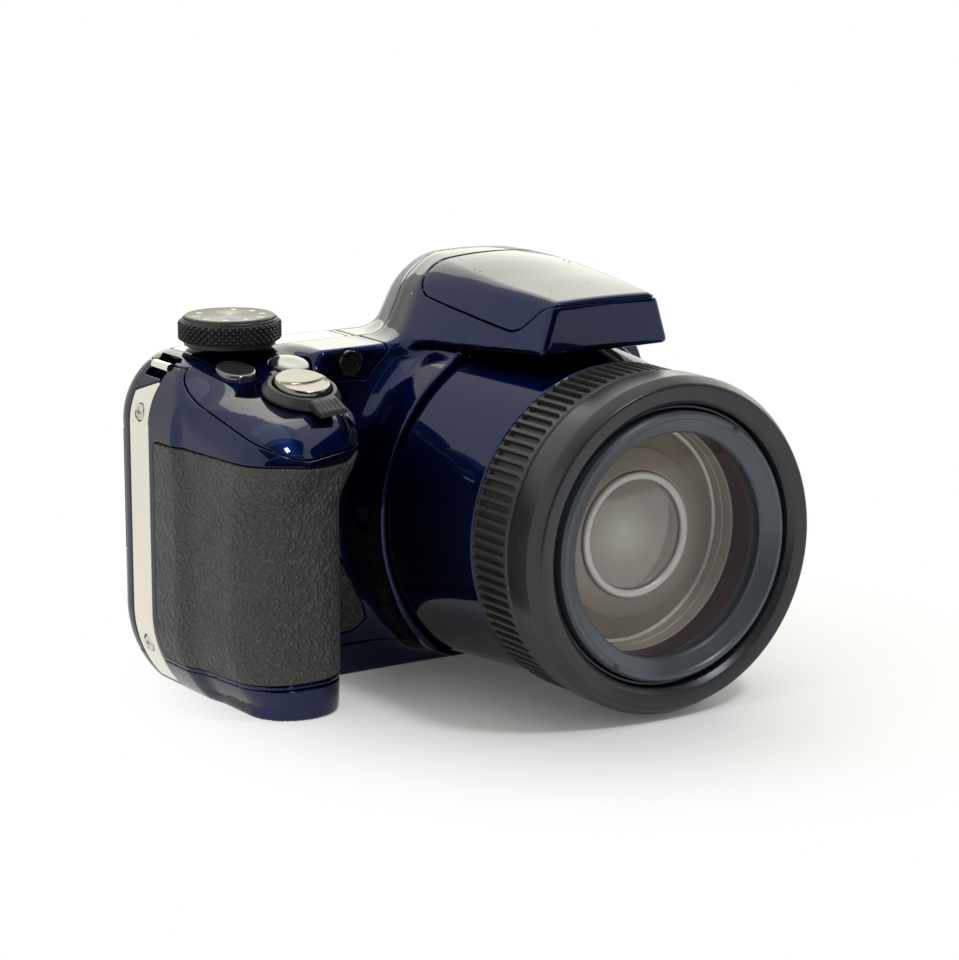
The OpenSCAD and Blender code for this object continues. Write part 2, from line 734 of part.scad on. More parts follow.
module base_screws() color(steel) for (p = base_screw_at) translate([p[0], p[1], 0]) {
    difference() {
        translate([0, 0, 0.1]) cylinder(r = screw_head_r, h = screw_head_h - 0.1);
        for (a = [0, 90]) rotate(a) translate([-1.1, -0.2, -1]) cube([2.2, 0.4, 1.6]);
    }
    translate([0, 0, screw_head_h - join]) cylinder(r = screw_r, h = base_h - screw_head_h - 1.5);
}
module tripod_socket() color("gold") difference() {
    cylinder(r = socket_r, h = tripod_l + 0.6, $fn = 48);
    translate([0, 0, -1]) cylinder(r = tripod_r, h = tripod_l + 1, $fn = 48);
}

// Trim
module side_trim(sign) color(steel) difference() {
    intersection() {
        band_part(0);
        strip_box(0, sign);
    }
    side_screw_set(play / 2);
}
module side_trim_left() side_trim(-1);
module side_trim_right() side_trim(1);
module top_trim() color(steel) difference() {
    intersection() {
        band_part(0);
        top_band_box(0);
    }
    translate([dial_x, dial_y, 0]) cylinder(r = spindle_r + play, h = far);
}
module strap_lugs() color(steel) for (sign = [-1, 1])
    translate([lug_x(sign), lug_y0, lug_bar_z]) rotate([-90, 0, 0]) cylinder(r = lug_r, h = lug_l);
module side_screws() color(steel) for (sign = [-1, 1]) for (z = strip_screw_z)
    side_screw_at(sign, z) difference() {
        side_screw(0);
        for (a = [0, 90]) rotate(a) translate([-1.1, -0.2, -1]) cube([2.2, 0.4, 1.5]);
    }

// Power and ports
bay_t = 1;
bay_gap = 0.2;
bay_low = 4;
battery_x = door_axis_x + 1;
battery_y = -27;
module battery() color(dark)
    translate([battery_x, battery_y, bay_low]) cube([battery_t, battery_d, battery_h]);
card_x = battery_x + battery_t + bay_gap + bay_t + 1.2;
card_y = battery_y + 10;
socket_t = 0.5;
socket_gap = 0.15;
module memory_card() color(black)
    translate([card_x, card_y, bay_low]) cube([card_t, card_d, card_h]);
module card_socket() color(steel) difference() {
    translate([card_x - socket_gap - socket_t, card_y - socket_gap - socket_t, bay_low + 3])
        cube([card_t + 2 * (socket_gap + socket_t), card_d + 2 * (socket_gap + socket_t),
            card_h - 3 + socket_gap + socket_t]);
    translate([card_x - socket_gap, card_y - socket_gap, 0])
        cube([card_t + 2 * socket_gap, card_d + 2 * socket_gap, bay_low + card_h + socket_gap]);
}
module port_door() color(black) {
    intersection() {
        difference() {
            slab(0);
            slab(port_t);
        }
        port_zone(0);
    }
    translate([port_x, port_y, port_z]) cylinder(r = port_r, h = port_h);
}
board_y = 8.2;
board_t = 1.4;
shell_low = 4;              // height of the lower port above the door's edge
shell_high = 15;            // height of the upper port above it
usb_w = 7.6;
audio_w = 7;
port_shells = [[port_z + shell_low, usb_w], [port_z + shell_high, audio_w]];
port_back = 7;
module ports() color(steel) for (p = port_shells)
    translate([-grip_side + 4.5, board_y + board_t + 0.1, p[0]]) difference() {
        cube([port_back, 3.4, p[1]]);
        translate([-1, 0.8, 0.5]) cube([port_back, 2.1, p[1] - 1]);
    }

// Deck controls
knurls = 48;
knurl_h = 0.5;
module mode_dial() color(black) translate([dial_x, dial_y, deck_z + dial_gap]) difference() {
    union() {
        linear_extrude(dial_h) polygon([for (i = [0:2 * knurls - 1])
            (dial_r - (i % 2) * knurl_h) * [cos(i * 180 / knurls), sin(i * 180 / knurls)]]);
        translate([0, 0, -dial_gap - spindle_l]) cylinder(r = spindle_r, h = spindle_l + dial_gap + 1);
    }
    translate([0, 0, dial_h - 0.5]) cylinder(r = dial_r - 1.2, h = 2, $fn = 64);
}
module dial_disc() color(dark) translate([dial_x, dial_y, deck_z + dial_gap + dial_h - 0.5])
    cylinder(r = dial_r - 1.25, h = 1, $fn = 64);
shutter_h = 3.7;
module shutter_button() color(steel) on_slope(shutter_x, -shutter_reach) difference() {
    translate([0, 0, -collar_l]) cylinder(r = shutter_r, h = collar_l + shutter_h, $fn = 64);
    translate([0, 0, shutter_h + 22]) sphere(r = 22.5, $fn = 64);
}
lever_tab = 4;
module zoom_lever() color(dark) on_slope(shutter_x, -shutter_reach) difference() {
    union() {
        translate([0, 0, 0.2]) cylinder(r = lever_r, h = lever_h, $fn = 64);
        translate([0, 0, -collar_l]) cylinder(r = collar_r, h = collar_l + 1, $fn = 64);
        rotate(20) translate([-3, -lever_r - lever_tab + 1, 0.3])
            cube([6, lever_tab + 1, lever_h - 0.3]);
    }
    translate([0, 0, -collar_l - 1]) cylinder(r = shutter_r + play, h = far, $fn = 64);
}
deck_key_h = 0.6;
module deck_key(x) color(dark) on_slope(x, -key_row) translate([0, 0, -2.4])
    cylinder(r = deck_key_r, h = 2.4 + deck_key_h, $fn = 48);
module burst_button() deck_key(burst_x);
module exposure_button() deck_key(exposure_x);
module focus_lamp() color(black) translate([lamp_x, -front_face + wall, lamp_z]) rotate([90, 0, 0]) {
    difference() {
        cylinder(r = lamp_r, h = wall + 0.8, $fn = 48);
        translate([0, 0, wall]) cylinder(r = lamp_r - 0.6, h = 2, $fn = 48);
    }
}

// Flash
flash_pin_r = 0.9;
knuckle_x = 7.5;
knuckle_l = 3;
knuckle_out = 2;
ear_x = knuckle_x + knuckle_l + 0.4;
ear_t = 2;
plate_z = overhang_z + 1.4;
plate_half = 15;
foot_z = plate_z - 0.85;
module flash_lid() color(blue) difference() {
    union() {
        difference() {
            intersection() {
                hump(0);
                lid_zone(0);
            }
            hump(lid_t);
        }
        for (sign = [-1, 1]) translate([sign * (knuckle_x + knuckle_l / 2), -flash_hinge, hinge_z]) {
            translate([-knuckle_l / 2, 0, 0]) rotate([0, 90, 0]) cylinder(r = knuckle_out, h = knuckle_l);
            translate([-knuckle_l / 2, -knuckle_out, 0]) cube([knuckle_l, knuckle_out * 1.5, 3.2]);
        }
    }
    hinge_bore();
}
module hinge_bore() translate([-far, -flash_hinge, hinge_z]) rotate([0, 90, 0])
    cylinder(r = flash_pin_r + run, h = 2 * far);
module flash_hinge_pin() color(steel) translate([-ear_x - ear_t, -flash_hinge, hinge_z])
    rotate([0, 90, 0]) cylinder(r = flash_pin_r, h = 2 * (ear_x + ear_t));
module flash_bracket() color(dark) difference() {
    union() {
        translate([-plate_half, -flash_hinge - 4, plate_z]) cube([2 * plate_half, 8, 1.2]);
        for (x = [2.5 - plate_half, plate_half - 2.5])
            translate([x, -flash_hinge, foot_z]) cylinder(r = 1.5, h = plate_z - foot_z + join);
        for (x = [-ear_x - ear_t, ear_x]) {
            translate([x, -flash_hinge - 2, plate_z]) cube([ear_t, 4, hinge_z - plate_z]);
            translate([x, -flash_hinge, hinge_z]) rotate([0, 90, 0]) cylinder(r = 2, h = ear_t);
        }
    }
    hinge_bore();
}
window_reach = hump_reach - 3.6;
flash_half = 10.5;
flash_low = overhang_z + 3.4;
flash_h = 6;
flash_d = 7;
module flash_window() color("white") translate([-flash_half, -window_reach, flash_low])
    cube([2 * flash_half, 1.2, flash_h]);
module flash_reflector() color(steel) translate([0, -window_reach + 1.2, flash_low]) difference() {
    translate([-flash_half, 0, 0]) cube([2 * flash_half, flash_d, flash_h]);
    translate([-flash_half + 0.8, 0, flash_h / 2]) rotate([0, 90, 0])
        cylinder(r = flash_h / 2 - 0.6, h = 2 * flash_half - 1.6);
}
tube_r = 0.9;
module flash_tube() color("white")
    translate([-flash_half + 0.9, -window_reach + 1.6 + tube_r, flash_low + flash_h / 2])
    rotate([0, 90, 0]) cylinder(r = tube_r, h = 2 * flash_half - 1.8);

// Lens
module rib_ring() color(dark) at_lens() translate([0, 0, rib_rear + 0.1]) difference() {
    linear_extrude(rib_l - 0.2) polygon([for (i = [0:ribs - 1]) for (k = [0:3])
        let (a = (i + [0.06, 0.34, 0.5, 0.9][k]) * 360 / ribs)
        (shroud_front_r + 0.2 - (k < 2 ? 0 : rib_h)) * [cos(a), sin(a)]]);
    translate([0, 0, -1]) cylinder(r = spigot_out + 0.1, h = far, $fn = turn_fn);
}
bevel = 1;
module lens_bezel() color(black) lens_turn([
    [bezel_bore, rib_front + 0.1], [bezel_r - 0.6, rib_front + 0.1], [bezel_r, rib_front + bevel],
    [bezel_r, lens_reach - bevel - 0.4], [bezel_r - bevel, lens_reach], [bezel_bore + 1, lens_reach - 0.6],
    [bezel_bore, lens_reach - 1.4]]);

// Sliding tubes, from the inside out: inner barrel, middle barrel, fixed barrel, cam ring
middle_out = bezel_bore - slide_gap;
middle_in = middle_out - tube_t;
inner_r = middle_in - slide_gap;
fixed_in = bezel_bore + 0.1;
fixed_out = fixed_in + 1;
barrel_back = 8;
module fixed_barrel() color(black) lens_turn([
    [fixed_in, rib_front - 1], [fixed_out, rib_front - 1], [fixed_out, barrel_back],
    [fixed_out + 1.6, barrel_back], [fixed_out + 1.6, barrel_back - 2], [rear_glass_r - 1, barrel_back - 2],
    [rear_glass_r - 1, barrel_back + 2], [rear_glass_r + 0.05, barrel_back + 2],
    [rear_glass_r + 0.05, barrel_back + 9], [rear_glass_r + 1.2, barrel_back + 9],
    [rear_glass_r + 1.2, barrel_back], [fixed_in, barrel_back]]);
cam_in = fixed_out + slide_gap;
cam_out = cam_in + 1;
cam_back = barrel_back + 0.4;
cam_l = rib_rear - cam_back - 5;
gear_w = 3;
tooth_tip = 0.45;
tooth_root = 0.75;
// Stub teeth round a pitch circle, the first one centred on angle zero plus a phase
module toothed(teeth, phase) polygon([for (i = [0:teeth - 1]) for (k = [0:3])
    let (a = phase + (i + [-0.3, -0.1, 0.1, 0.3][k]) * 360 / teeth,
        r = gear_module * teeth / 2 + (k % 3 == 0 ? -tooth_root : tooth_tip))
    r * [cos(a), sin(a)]]);
gear_angle = 145;               // where the drive gear sits round the lens
gear_distance = gear_module * (ring_teeth + gear_teeth) / 2;
module cam_ring() color(steel) at_lens() translate([0, 0, cam_back]) difference() {
    union() {
        cylinder(r = cam_out, h = cam_l, $fn = turn_fn);
        linear_extrude(gear_w) rotate(gear_angle) toothed(ring_teeth, 0);
    }
    translate([0, 0, -1]) cylinder(r = cam_in, h = far, $fn = turn_fn);
}
module at_gear() at_lens()
    translate(gear_distance * [cos(gear_angle), sin(gear_angle), 0]) children();
gear_bore = 0.8;
module drive_gear() color("gold") at_gear() translate([0, 0, cam_back]) difference() {
    linear_extrude(gear_w) rotate(gear_angle + 180) toothed(gear_teeth, 180 / gear_teeth);
    translate([0, 0, -1]) cylinder(r = gear_bore + run, h = far);
}
motor_r = 5;
motor_l = 14;
plate_back = 3;                 // reach of the sensor plate's rear face
module zoom_motor() color(steel) at_gear() {
    translate([0, 0, barrel_back - 2 - motor_l]) cylinder(r = motor_r, h = motor_l);
    translate([0, 0, barrel_back - 2 - join])
        cylinder(r = gear_bore, h = cam_back + gear_w + 3 - barrel_back);
}
middle_front = lens_reach - 3;
middle_l = 34;
module middle_barrel() color(black) lens_turn([
    [middle_in, middle_front - middle_l], [middle_out, middle_front - middle_l],
    [middle_out, middle_front], [middle_in, middle_front]]);
inner_front = lens_reach - 0.7;
inner_l = 30;
cell_reach = inner_front - 17;
cell_t = 4;
seat_r = glass_r + 0.9;
module inner_barrel() color(dark) lens_turn([
    [inner_r, inner_front - inner_l], [inner_r, inner_front - 0.6], [inner_r - 0.6, inner_front],
    [inner_r - 1.6, inner_front], [glass_r, inner_front - 1.8], [glass_r, inner_front - 3],
    [seat_r, inner_front - 3], [seat_r, inner_front - 8], [inner_r - 1.2, inner_front - 9],
    [inner_r - 1.2, inner_front - inner_l]]);
// Glass: a disc from the back to the rim's front, with a domed face of a given sag
dome_steps = 6;
module glass(r, back, front, sag) color([0.5, 0.45, 0.45, 0.5]) lens_turn(concat(
    [[0, back], [r, back]],
    [for (i = [dome_steps:-1:0]) let (t = i / dome_steps) [r * t, front + sag * (1 - t * t)]]));
front_seat = 7;             // depth of the front glass's back
front_rim = 3.3;            // depth of its rim
front_sag = 2;
module front_lens() glass(seat_r - 0.1, inner_front - front_seat, inner_front - front_rim, front_sag);
module lens_cell() color(black) lens_turn([
    [inner_r - 1.25, cell_reach], [inner_r - 1.25, cell_reach + cell_t],
    [second_r + 2, cell_reach + cell_t],
    [second_r, cell_reach + cell_t - 0.6], [second_r - 0.6, cell_reach + cell_t - 1.4],
    [second_r - 0.6, cell_reach + cell_t - 2], [second_r, cell_reach + cell_t - 2], [second_r, cell_reach]]);
module second_lens() glass(second_r - 0.05, cell_reach, cell_reach + cell_t - 2.3, 1.2);
module rear_lens() glass(rear_glass_r, barrel_back + 2.05, barrel_back + 5, 2);

// Sensor, chassis and electronics
plate_half_w = 30;
plate_low = 10;
plate_drop = 12.5;              // the plate ends this far below the deck
plate_high = deck_z - plate_drop;
sensor_half = 6.5;
standoffs = [[-26, 14], [26, 14], [-20, plate_high - 4], [26, plate_high - 4]];
module sensor_plate() color(steel) difference() {
    union() {
        translate([-plate_half_w, -barrel_back + 2, plate_low])
            cube([2 * plate_half_w, barrel_back - 2 - plate_back, plate_high - plate_low]);
        for (p = standoffs) translate([p[0], -plate_back - join, p[1]]) rotate([-90, 0, 0])
            cylinder(r = 2.2, h = chassis_y + plate_back + join);
    }
    translate([-sensor_half, -far, lens_z - sensor_half * 0.8])
        cube([2 * sensor_half, 2 * far, sensor_half * 1.6]);
    at_gear() translate([0, 0, -far / 2]) cylinder(r = motor_r + play, h = far);
}
module image_sensor() color(green) translate([-sensor_half - 3, -plate_back, lens_z - sensor_half * 0.8 - 3])
    cube([2 * sensor_half + 6, 2.2, sensor_half * 1.6 + 6]);
chassis_x0 = battery_x + battery_t + bay_gap;
chassis_drop = 12.5;        // the chassis ends this far below the deck
chassis_top = deck_z - chassis_drop;
motor_cut = motor_r + 1;
module chassis() color(steel) difference() {
    union() {
        translate([chassis_x0, chassis_y, 10])
            cube([plain_side - 3.5 - chassis_x0, chassis_t, chassis_top - 10]);
        translate([battery_x - bay_gap - bay_t, battery_y - bay_gap - bay_t, bay_low])
            cube([battery_t + 2 * (bay_gap + bay_t), battery_d + 2 * (bay_gap + bay_t),
                battery_h + bay_gap + bay_t]);
        for (x = [chassis_x0 + 8, plain_side - 16]) for (z = [20, chassis_top - 6])
            translate([x, chassis_y, z]) rotate([-90, 0, 0]) cylinder(r = 2, h = board_y - chassis_y);
    }
    translate([battery_x - bay_gap, battery_y - bay_gap, 0])
        cube([battery_t + 2 * bay_gap, battery_d + 2 * bay_gap, bay_low + battery_h + bay_gap]);
    translate([card_x - 1, -far, 0]) cube([card_t + 2, 2 * far, bay_low + card_h + 2]);
    at_gear() translate([0, 0, -far / 2]) cylinder(r = motor_cut, h = far);
}
switch_at = [menu_at, play_at, delete_at, video_at, [pad_x - 6.5, pad_z], [pad_x, pad_z],
    [pad_x + 6.5, pad_z]];
switch_h = rear_face - wall - key_flange - 1.2 - key_travel - 0.3 - board_y - board_t;
module main_board() color(green) {
    difference() {
        translate([-grip_side + 8.5, board_y, 10])
            cube([grip_side - 8.5 + plain_side - 10.5, board_t, deck_z - 16]);
        for (z = post_z) translate([post_x[0] - post_r - play, 0, z - post_r - play])
            cube([2 * (post_r + play), far, 2 * (post_r + play)]);
    }
    for (p = switch_at) translate([p[0] - 1.5, board_y + board_t - join, p[1] - 1.5])
        cube([3, switch_h + join, 3]);
}
capacitor_r = 5;
capacitor_l = 28;
module flash_capacitor() color(black)
    translate([battery_x + battery_t / 2, 0, bay_low + battery_h + bay_gap + bay_t + capacitor_r + 0.1])
    rotate([90, 0, 0]) cylinder(r = capacitor_r, h = capacitor_l);

// Rear
panel_t = 2.4;
module screen_panel() color(black)
    translate([screen_x - screen_w / 2 - panel_lip, rear_face - wall - join - panel_t,
        screen_z - screen_h / 2 - panel_lip])
    cube([screen_w + 2 * panel_lip, panel_t, screen_h + 2 * panel_lip]);
module screen_window() color(black)
    translate([screen_x - screen_w / 2, rear_face - wall, screen_z - screen_h / 2])
    cube([screen_w, wall - 0.1, screen_h]);
module rear_key(p, r) color(dark) at_rear(p) {
    translate([0, 0, -wall - 0.1]) cylinder(r = r, h = wall + 0.1 + key_proud, $fn = 48);
    translate([0, 0, -wall - 0.1 - 1.2]) cylinder(r = r + key_flange, h = 1.2, $fn = 48);
}
module direction_pad() color(dark) difference() {
    rear_key([pad_x, pad_z], pad_r);
    rear_hole([pad_x, pad_z], ok_r);
}
module ok_button() color(dark) at_rear([pad_x, pad_z]) translate([0, 0, -wall - 1.3])
    cylinder(r = ok_r, h = wall + 1.3 + key_proud * 0.7, $fn = 48);
module menu_button() rear_key(menu_at, key_r);
module play_button() rear_key(play_at, key_r);
module delete_button() rear_key(delete_at, key_r);
module video_button() rear_key(video_at, key_r);

front_cover();
top_cover();
rear_cover();
bottom_cover();
grip_rubber();
side_trim_left();
side_trim_right();
top_trim();
strap_lugs();
side_screws();
base_screws();
battery_door();
door_latch();
door_hinge_pin();
tripod_socket();
battery();
port_door();
ports();
mode_dial();
dial_disc();
shutter_button();
zoom_lever();
burst_button();
exposure_button();
focus_lamp();
flash_lid();
flash_reflector();
flash_tube();
flash_window();
flash_hinge_pin();
flash_bracket();
lens_shroud();
rib_ring();
lens_bezel();
fixed_barrel();
cam_ring();
middle_barrel();
inner_barrel();
front_lens();
second_lens();
lens_cell();
rear_lens();
zoom_motor();
drive_gear();
sensor_plate();
image_sensor();
chassis();
main_board();
flash_capacitor();
card_socket();
memory_card();
screen_panel();
screen_window();
direction_pad();
ok_button();
menu_button();
play_button();
delete_button();
video_button();
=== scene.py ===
"""Looks of the bridge camera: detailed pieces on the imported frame, a plain studio and the photo's view.

Lengths are in millimetres until a piece is made. The frame is the part's own: the lens looks along -Y from
x = 0, the grip is on the -X side, and the base stands on z = 0.
"""

import math

import bpy
import numpy as np
import openvdb as vdb
from mathutils import Matrix, Vector


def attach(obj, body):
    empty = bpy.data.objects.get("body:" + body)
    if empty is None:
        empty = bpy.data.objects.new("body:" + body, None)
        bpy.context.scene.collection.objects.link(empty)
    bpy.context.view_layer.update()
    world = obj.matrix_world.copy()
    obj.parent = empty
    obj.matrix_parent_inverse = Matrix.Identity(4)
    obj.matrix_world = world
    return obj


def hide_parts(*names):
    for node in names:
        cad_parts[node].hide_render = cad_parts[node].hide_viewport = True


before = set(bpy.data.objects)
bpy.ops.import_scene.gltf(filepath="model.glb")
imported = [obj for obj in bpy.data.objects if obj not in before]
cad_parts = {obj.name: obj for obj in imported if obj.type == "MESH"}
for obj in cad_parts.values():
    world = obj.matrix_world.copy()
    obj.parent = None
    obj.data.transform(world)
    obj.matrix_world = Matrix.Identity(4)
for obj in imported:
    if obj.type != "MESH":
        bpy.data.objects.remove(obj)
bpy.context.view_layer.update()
MM = 0.001

# Sizes shared by the pieces
LENS_Z = 37.0
DECK_Z = 73.0
FRONT_Y = -12.0
REAR_Y = 16.0
REAR_ROUND = 7.5
SLOPE = math.radians(15)
SLOPE_TAN = math.tan(SLOPE)
NECK_R = 40.2
NECK_Y = -28.0
NECK_FLAT = 4.2
NECK_BACK = -6.0
SHROUD_R = 38.6
SHROUD_FRONT_R, SHROUD_FRONT_Y = 35.5, -56.2
SEAM = 0.1
EDGE = 0.35


# Distance fields

def rounded_both(a, b, r):
    """Where both fields are inside, with a rounded edge of radius r."""
    return np.minimum(np.maximum(a, b), -r) + np.hypot(np.maximum(a + r, 0), np.maximum(b + r, 0))


def blended(a, b, k):
    """Where either field is inside, with a fillet that begins k away."""
    h = np.maximum(k - np.abs(a - b), 0) / k
    return np.minimum(a, b) - h * h * k * 0.25


def ease(t):
    t = np.clip(t, 0, 1)
    return t * t * (3 - 2 * t)


def least(*fields):
    d = fields[0]
    for f in fields[1:]:
        d = np.minimum(d, f)
    return d


def mix(a, b, t):
    return a + (b - a) * t


def curve(knots, values):
    """A smooth curve through a short table that doesn't overshoot it."""
    t = np.asarray(knots, float)
    v = np.asarray(values, float)
    h = np.diff(t)
    d = np.diff(v) / h
    m = np.zeros_like(v)
    m[0], m[-1] = d[0], d[-1]
    for i in range(1, len(v) - 1):
        if d[i - 1] * d[i] > 0:
            w1, w2 = 2 * h[i] + h[i - 1], h[i] + 2 * h[i - 1]
            m[i] = (w1 + w2) / (w1 / d[i - 1] + w2 / d[i])

    def at(x):
        x = np.clip(x, t[0], t[-1])
        i = np.clip(np.searchsorted(t, x, side="right") - 1, 0, len(h) - 1)
        s = (x - t[i]) / h[i]
        a = v[i] * (1 + 2 * s) * (1 - s) ** 2 + v[i + 1] * s * s * (3 - 2 * s)
        return a + h[i] * s * (1 - s) * (m[i] * (1 - s) - m[i + 1] * s)

    return at


def polygon_distance(px, py, corners):
    """Signed distance to a convex polygon given anticlockwise, whose corners may be arrays."""
    best, inside = None, None
    for (ax, ay), (bx, by) in zip(corners, corners[1:] + corners[:1]):
        ex, ey = bx - ax, by - ay
        wx, wy = px - ax, py - ay
        t = np.clip((wx * ex + wy * ey) / (ex * ex + ey * ey), 0, 1)
        d = (wx - ex * t) ** 2 + (wy - ey * t) ** 2
        left = ex * wy - ey * wx > 0
        best = d if best is None else np.minimum(best, d)
        inside = left if inside is None else inside & left
    return np.where(inside, -1.0, 1.0) * np.sqrt(best)


SIDE_X, PLAIN_X = -81.5, 41.5
LOW_R, LOW_Z = 25.0, 18.0
TOP_R, TOP_Z = 16.0, 58.0


def side_profile(x, z):
    """Distance outside the body's outline as seen from the front, without its base and deck."""
    def flank(out):
        low = np.hypot(np.maximum(out + LOW_R, 0), LOW_Z - z) - LOW_R
        high = np.hypot(np.maximum(out + TOP_R, 0), np.maximum(z - TOP_Z, 0)) - TOP_R
        return np.where(z < LOW_Z, low, high)

    return np.maximum(flank(SIDE_X - x), flank(x - PLAIN_X))


SLOPE_END = -46.5


def deck_height(x, y):
    """The deck falls towards the nose beside the grip and is level near the lens."""
    fall = SLOPE_TAN * blended(y, 0 * y, 3.0)
    return DECK_Z + fall * (1 - ease((x - SLOPE_END + 2.5) / 5.0))


# The grip's plan below the swell and at the nose: reach to the front, inner front corner and inner root
GRIP_R = 10.0
GRIP_REACH, NOSE_REACH = 38.0, 43.5
GRIP_INNER_X, NOSE_INNER_X = -62.5, -57.4
GRIP_ROOT_X, NOSE_ROOT_X, ROOT_Y = -52.0, -56.0, 4.0
SWELL_Z, NOSE_Z = 44.0, 57.0
FOOT_Z, FOOT_IN = 4.0, 0.3
GRIP_FILLET, NOSE_FILLET = 7.0, 2.5


def nose_swell(z):
    return ease((z - SWELL_Z) / (NOSE_Z - SWELL_Z))


def grip_plan(x, y, z):
    """The hand grip from above: a plan that swells towards the nose and tucks in at the base."""
    zc = np.clip(z, 0, NOSE_Z)
    swell = nose_swell(zc)
    tuck = np.where(zc < LOW_Z, LOW_R - np.sqrt(LOW_R ** 2 - (LOW_Z - np.minimum(zc, LOW_Z)) ** 2), 0)
    outer = GRIP_R + SIDE_X + tuck
    inner = mix(GRIP_INNER_X, NOSE_INNER_X, swell)
    front = np.minimum(outer + 3.0, inner - 1.0)
    root = ROOT_Y + 0 * zc
    corners = [(outer, root), (front, GRIP_R - mix(GRIP_REACH, NOSE_REACH, swell)),
               (inner, GRIP_R - GRIP_REACH + 0 * zc), (mix(GRIP_ROOT_X, NOSE_ROOT_X, swell), root)]
    foot = FOOT_IN * (1 - np.minimum(zc, FOOT_Z) / FOOT_Z) ** 2
    return polygon_distance(x, y, corners) - GRIP_R + foot


CREST_R, BROW_R = 9.0, 1.6


def crest_round(x, y):
    """The deck's edge is soft round the nose and crisp along the body's front."""
    return mix(BROW_R, CREST_R, ease((-2 - y) / 18) * (1 - ease((x + 51) / 7)))


HUMP_FRONT = -54.0
HUMP_Y = [HUMP_FRONT, -52, -34, -12, -4, 6, 13, 16]
hump_foot = curve(HUMP_Y, [16.7, 16.9, 20.6, 24.6, 25.4, 23.6, 20.5, 19.0])
hump_roof = curve(HUMP_Y, [13.2, 13.3, 15.4, 16.2, 15.0, 12.0, 9.0, 8.0])
hump_low = curve(HUMP_Y, [74.8, 74.8, 73.9, 72.6, 68.0, 66.0, 66.0, 66.0])
hump_high = curve(HUMP_Y, [86.2, 86.4, 88.4, 90.5, 90.7, 89.4, 86.6, 85.0])
hump_round = curve(HUMP_Y, [2.0, 2.0, 2.6, 4.2, 6.0, 7.0, 7.0, 7.0])
hump_crown = curve(HUMP_Y, [0.3, 0.3, 0.9, 1.4, 1.2, 0.6, 0.0, 0.0])


def hump(x, y, z):
    """The roof over the lens, which holds the flash: flat sides that lean in under a crowned top."""
    foot, roof, low, high = hump_foot(y), hump_roof(y), hump_low(y), hump_high(y)
    lean = (foot - roof) / (high - low)
    side = (np.abs(x) - foot + lean * (z - low)) / np.sqrt(1 + lean * lean)
    top = z - high + hump_crown(y) * (x / roof) ** 2
    d = rounded_both(side, top, hump_round(y))
    d = rounded_both(d, low - z, 1.4)
    d = rounded_both(d, HUMP_FRONT - y, 1.5)
    return rounded_both(d, y - REAR_Y, 6.0)


def axis_distance(x, z):
    return np.hypot(x, z - LENS_Z)


def neck(x, y, z):
    d = rounded_both(axis_distance(x, z) - NECK_R, NECK_FLAT - z, 4.0)
    return np.maximum(rounded_both(d, NECK_Y - y, 0.7), y - NECK_BACK)


def body_field(x, y, z):
    """The whole outer skin of the covers as one smooth form."""
    fillet = mix(GRIP_FILLET, NOSE_FILLET, nose_swell(z))
    plan = blended(FRONT_Y - y, grip_plan(x, y, z), fillet)
    plan = rounded_both(plan, rounded_both(y - REAR_Y, side_profile(x, z), REAR_ROUND), 1.2)
    roof = (z - deck_height(x, y)) * math.cos(SLOPE)
    d = rounded_both(plan, roof, crest_round(x, y))
    d = rounded_both(d, y - REAR_Y, 5.0)
    d = blended(d, neck(x, y, z), 8.0)
    d = blended(d, hump(x, y, z), 4.0)
    return rounded_both(d, -z, 0.6)


def shroud_field(x, y, z):
    """The cone between the neck and the ribbed ring, trimmed flat near the ground."""
    along = np.maximum(NECK_Y - y, 0) / (NECK_Y - SHROUD_FRONT_Y)
    radius = mix(SHROUD_R, SHROUD_FRONT_R, along)
    d = axis_distance(x, z) - radius
    d = -blended(-d, -(NECK_FLAT - z), 7.0)
    return rounded_both(d, SHROUD_FRONT_Y - y, 0.5)


# Meshes from fields

def gradient(field, p, h=0.02):
    g = np.empty_like(p)
    for i in range(3):
        step = np.zeros(3)
        step[i] = h
        g[:, i] = (field(*(p + step).T) - field(*(p - step).T)) / (2 * h)
    return g


def settled(field, p, rounds=3):
    """Points moved onto the field's surface."""
    for _ in range(rounds):
        g = gradient(field, p)
        p = p - (field(*p.T) / np.maximum((g * g).sum(1), 0.05))[:, None] * g
    return p


def unit(v):
    return v / np.maximum(np.linalg.norm(v, axis=1), 1e-9)[:, None]


def field_skin(field, low, high, step):
    """Points and triangles of a field's surface."""
    axes = [np.arange(a, b, step, dtype=np.float32) for a, b in zip(low, high)]
    x, y, z = np.meshgrid(*axes, indexing="ij", sparse=True)
    grid = vdb.FloatGrid(background=3.0)
    grid.copyFromArray(np.clip(field(x, y, z), -3, 3).astype(np.float32))
    points, quads = grid.convertToQuads(isovalue=0.0)
    points = settled(field, points.astype(float) * step + np.array(low, float))
    a, b, c, d = quads.astype(int).T

    def length(p, q):
        return np.linalg.norm(points[p] - points[q], axis=1)

    short = (length(a, c) < length(b, d))[:, None]
    one = np.where(short, np.stack([a, b, c], 1), np.stack([a, b, d], 1))
    two = np.where(short, np.stack([a, c, d], 1), np.stack([b, c, d], 1))
    return points, np.concatenate([one, two])


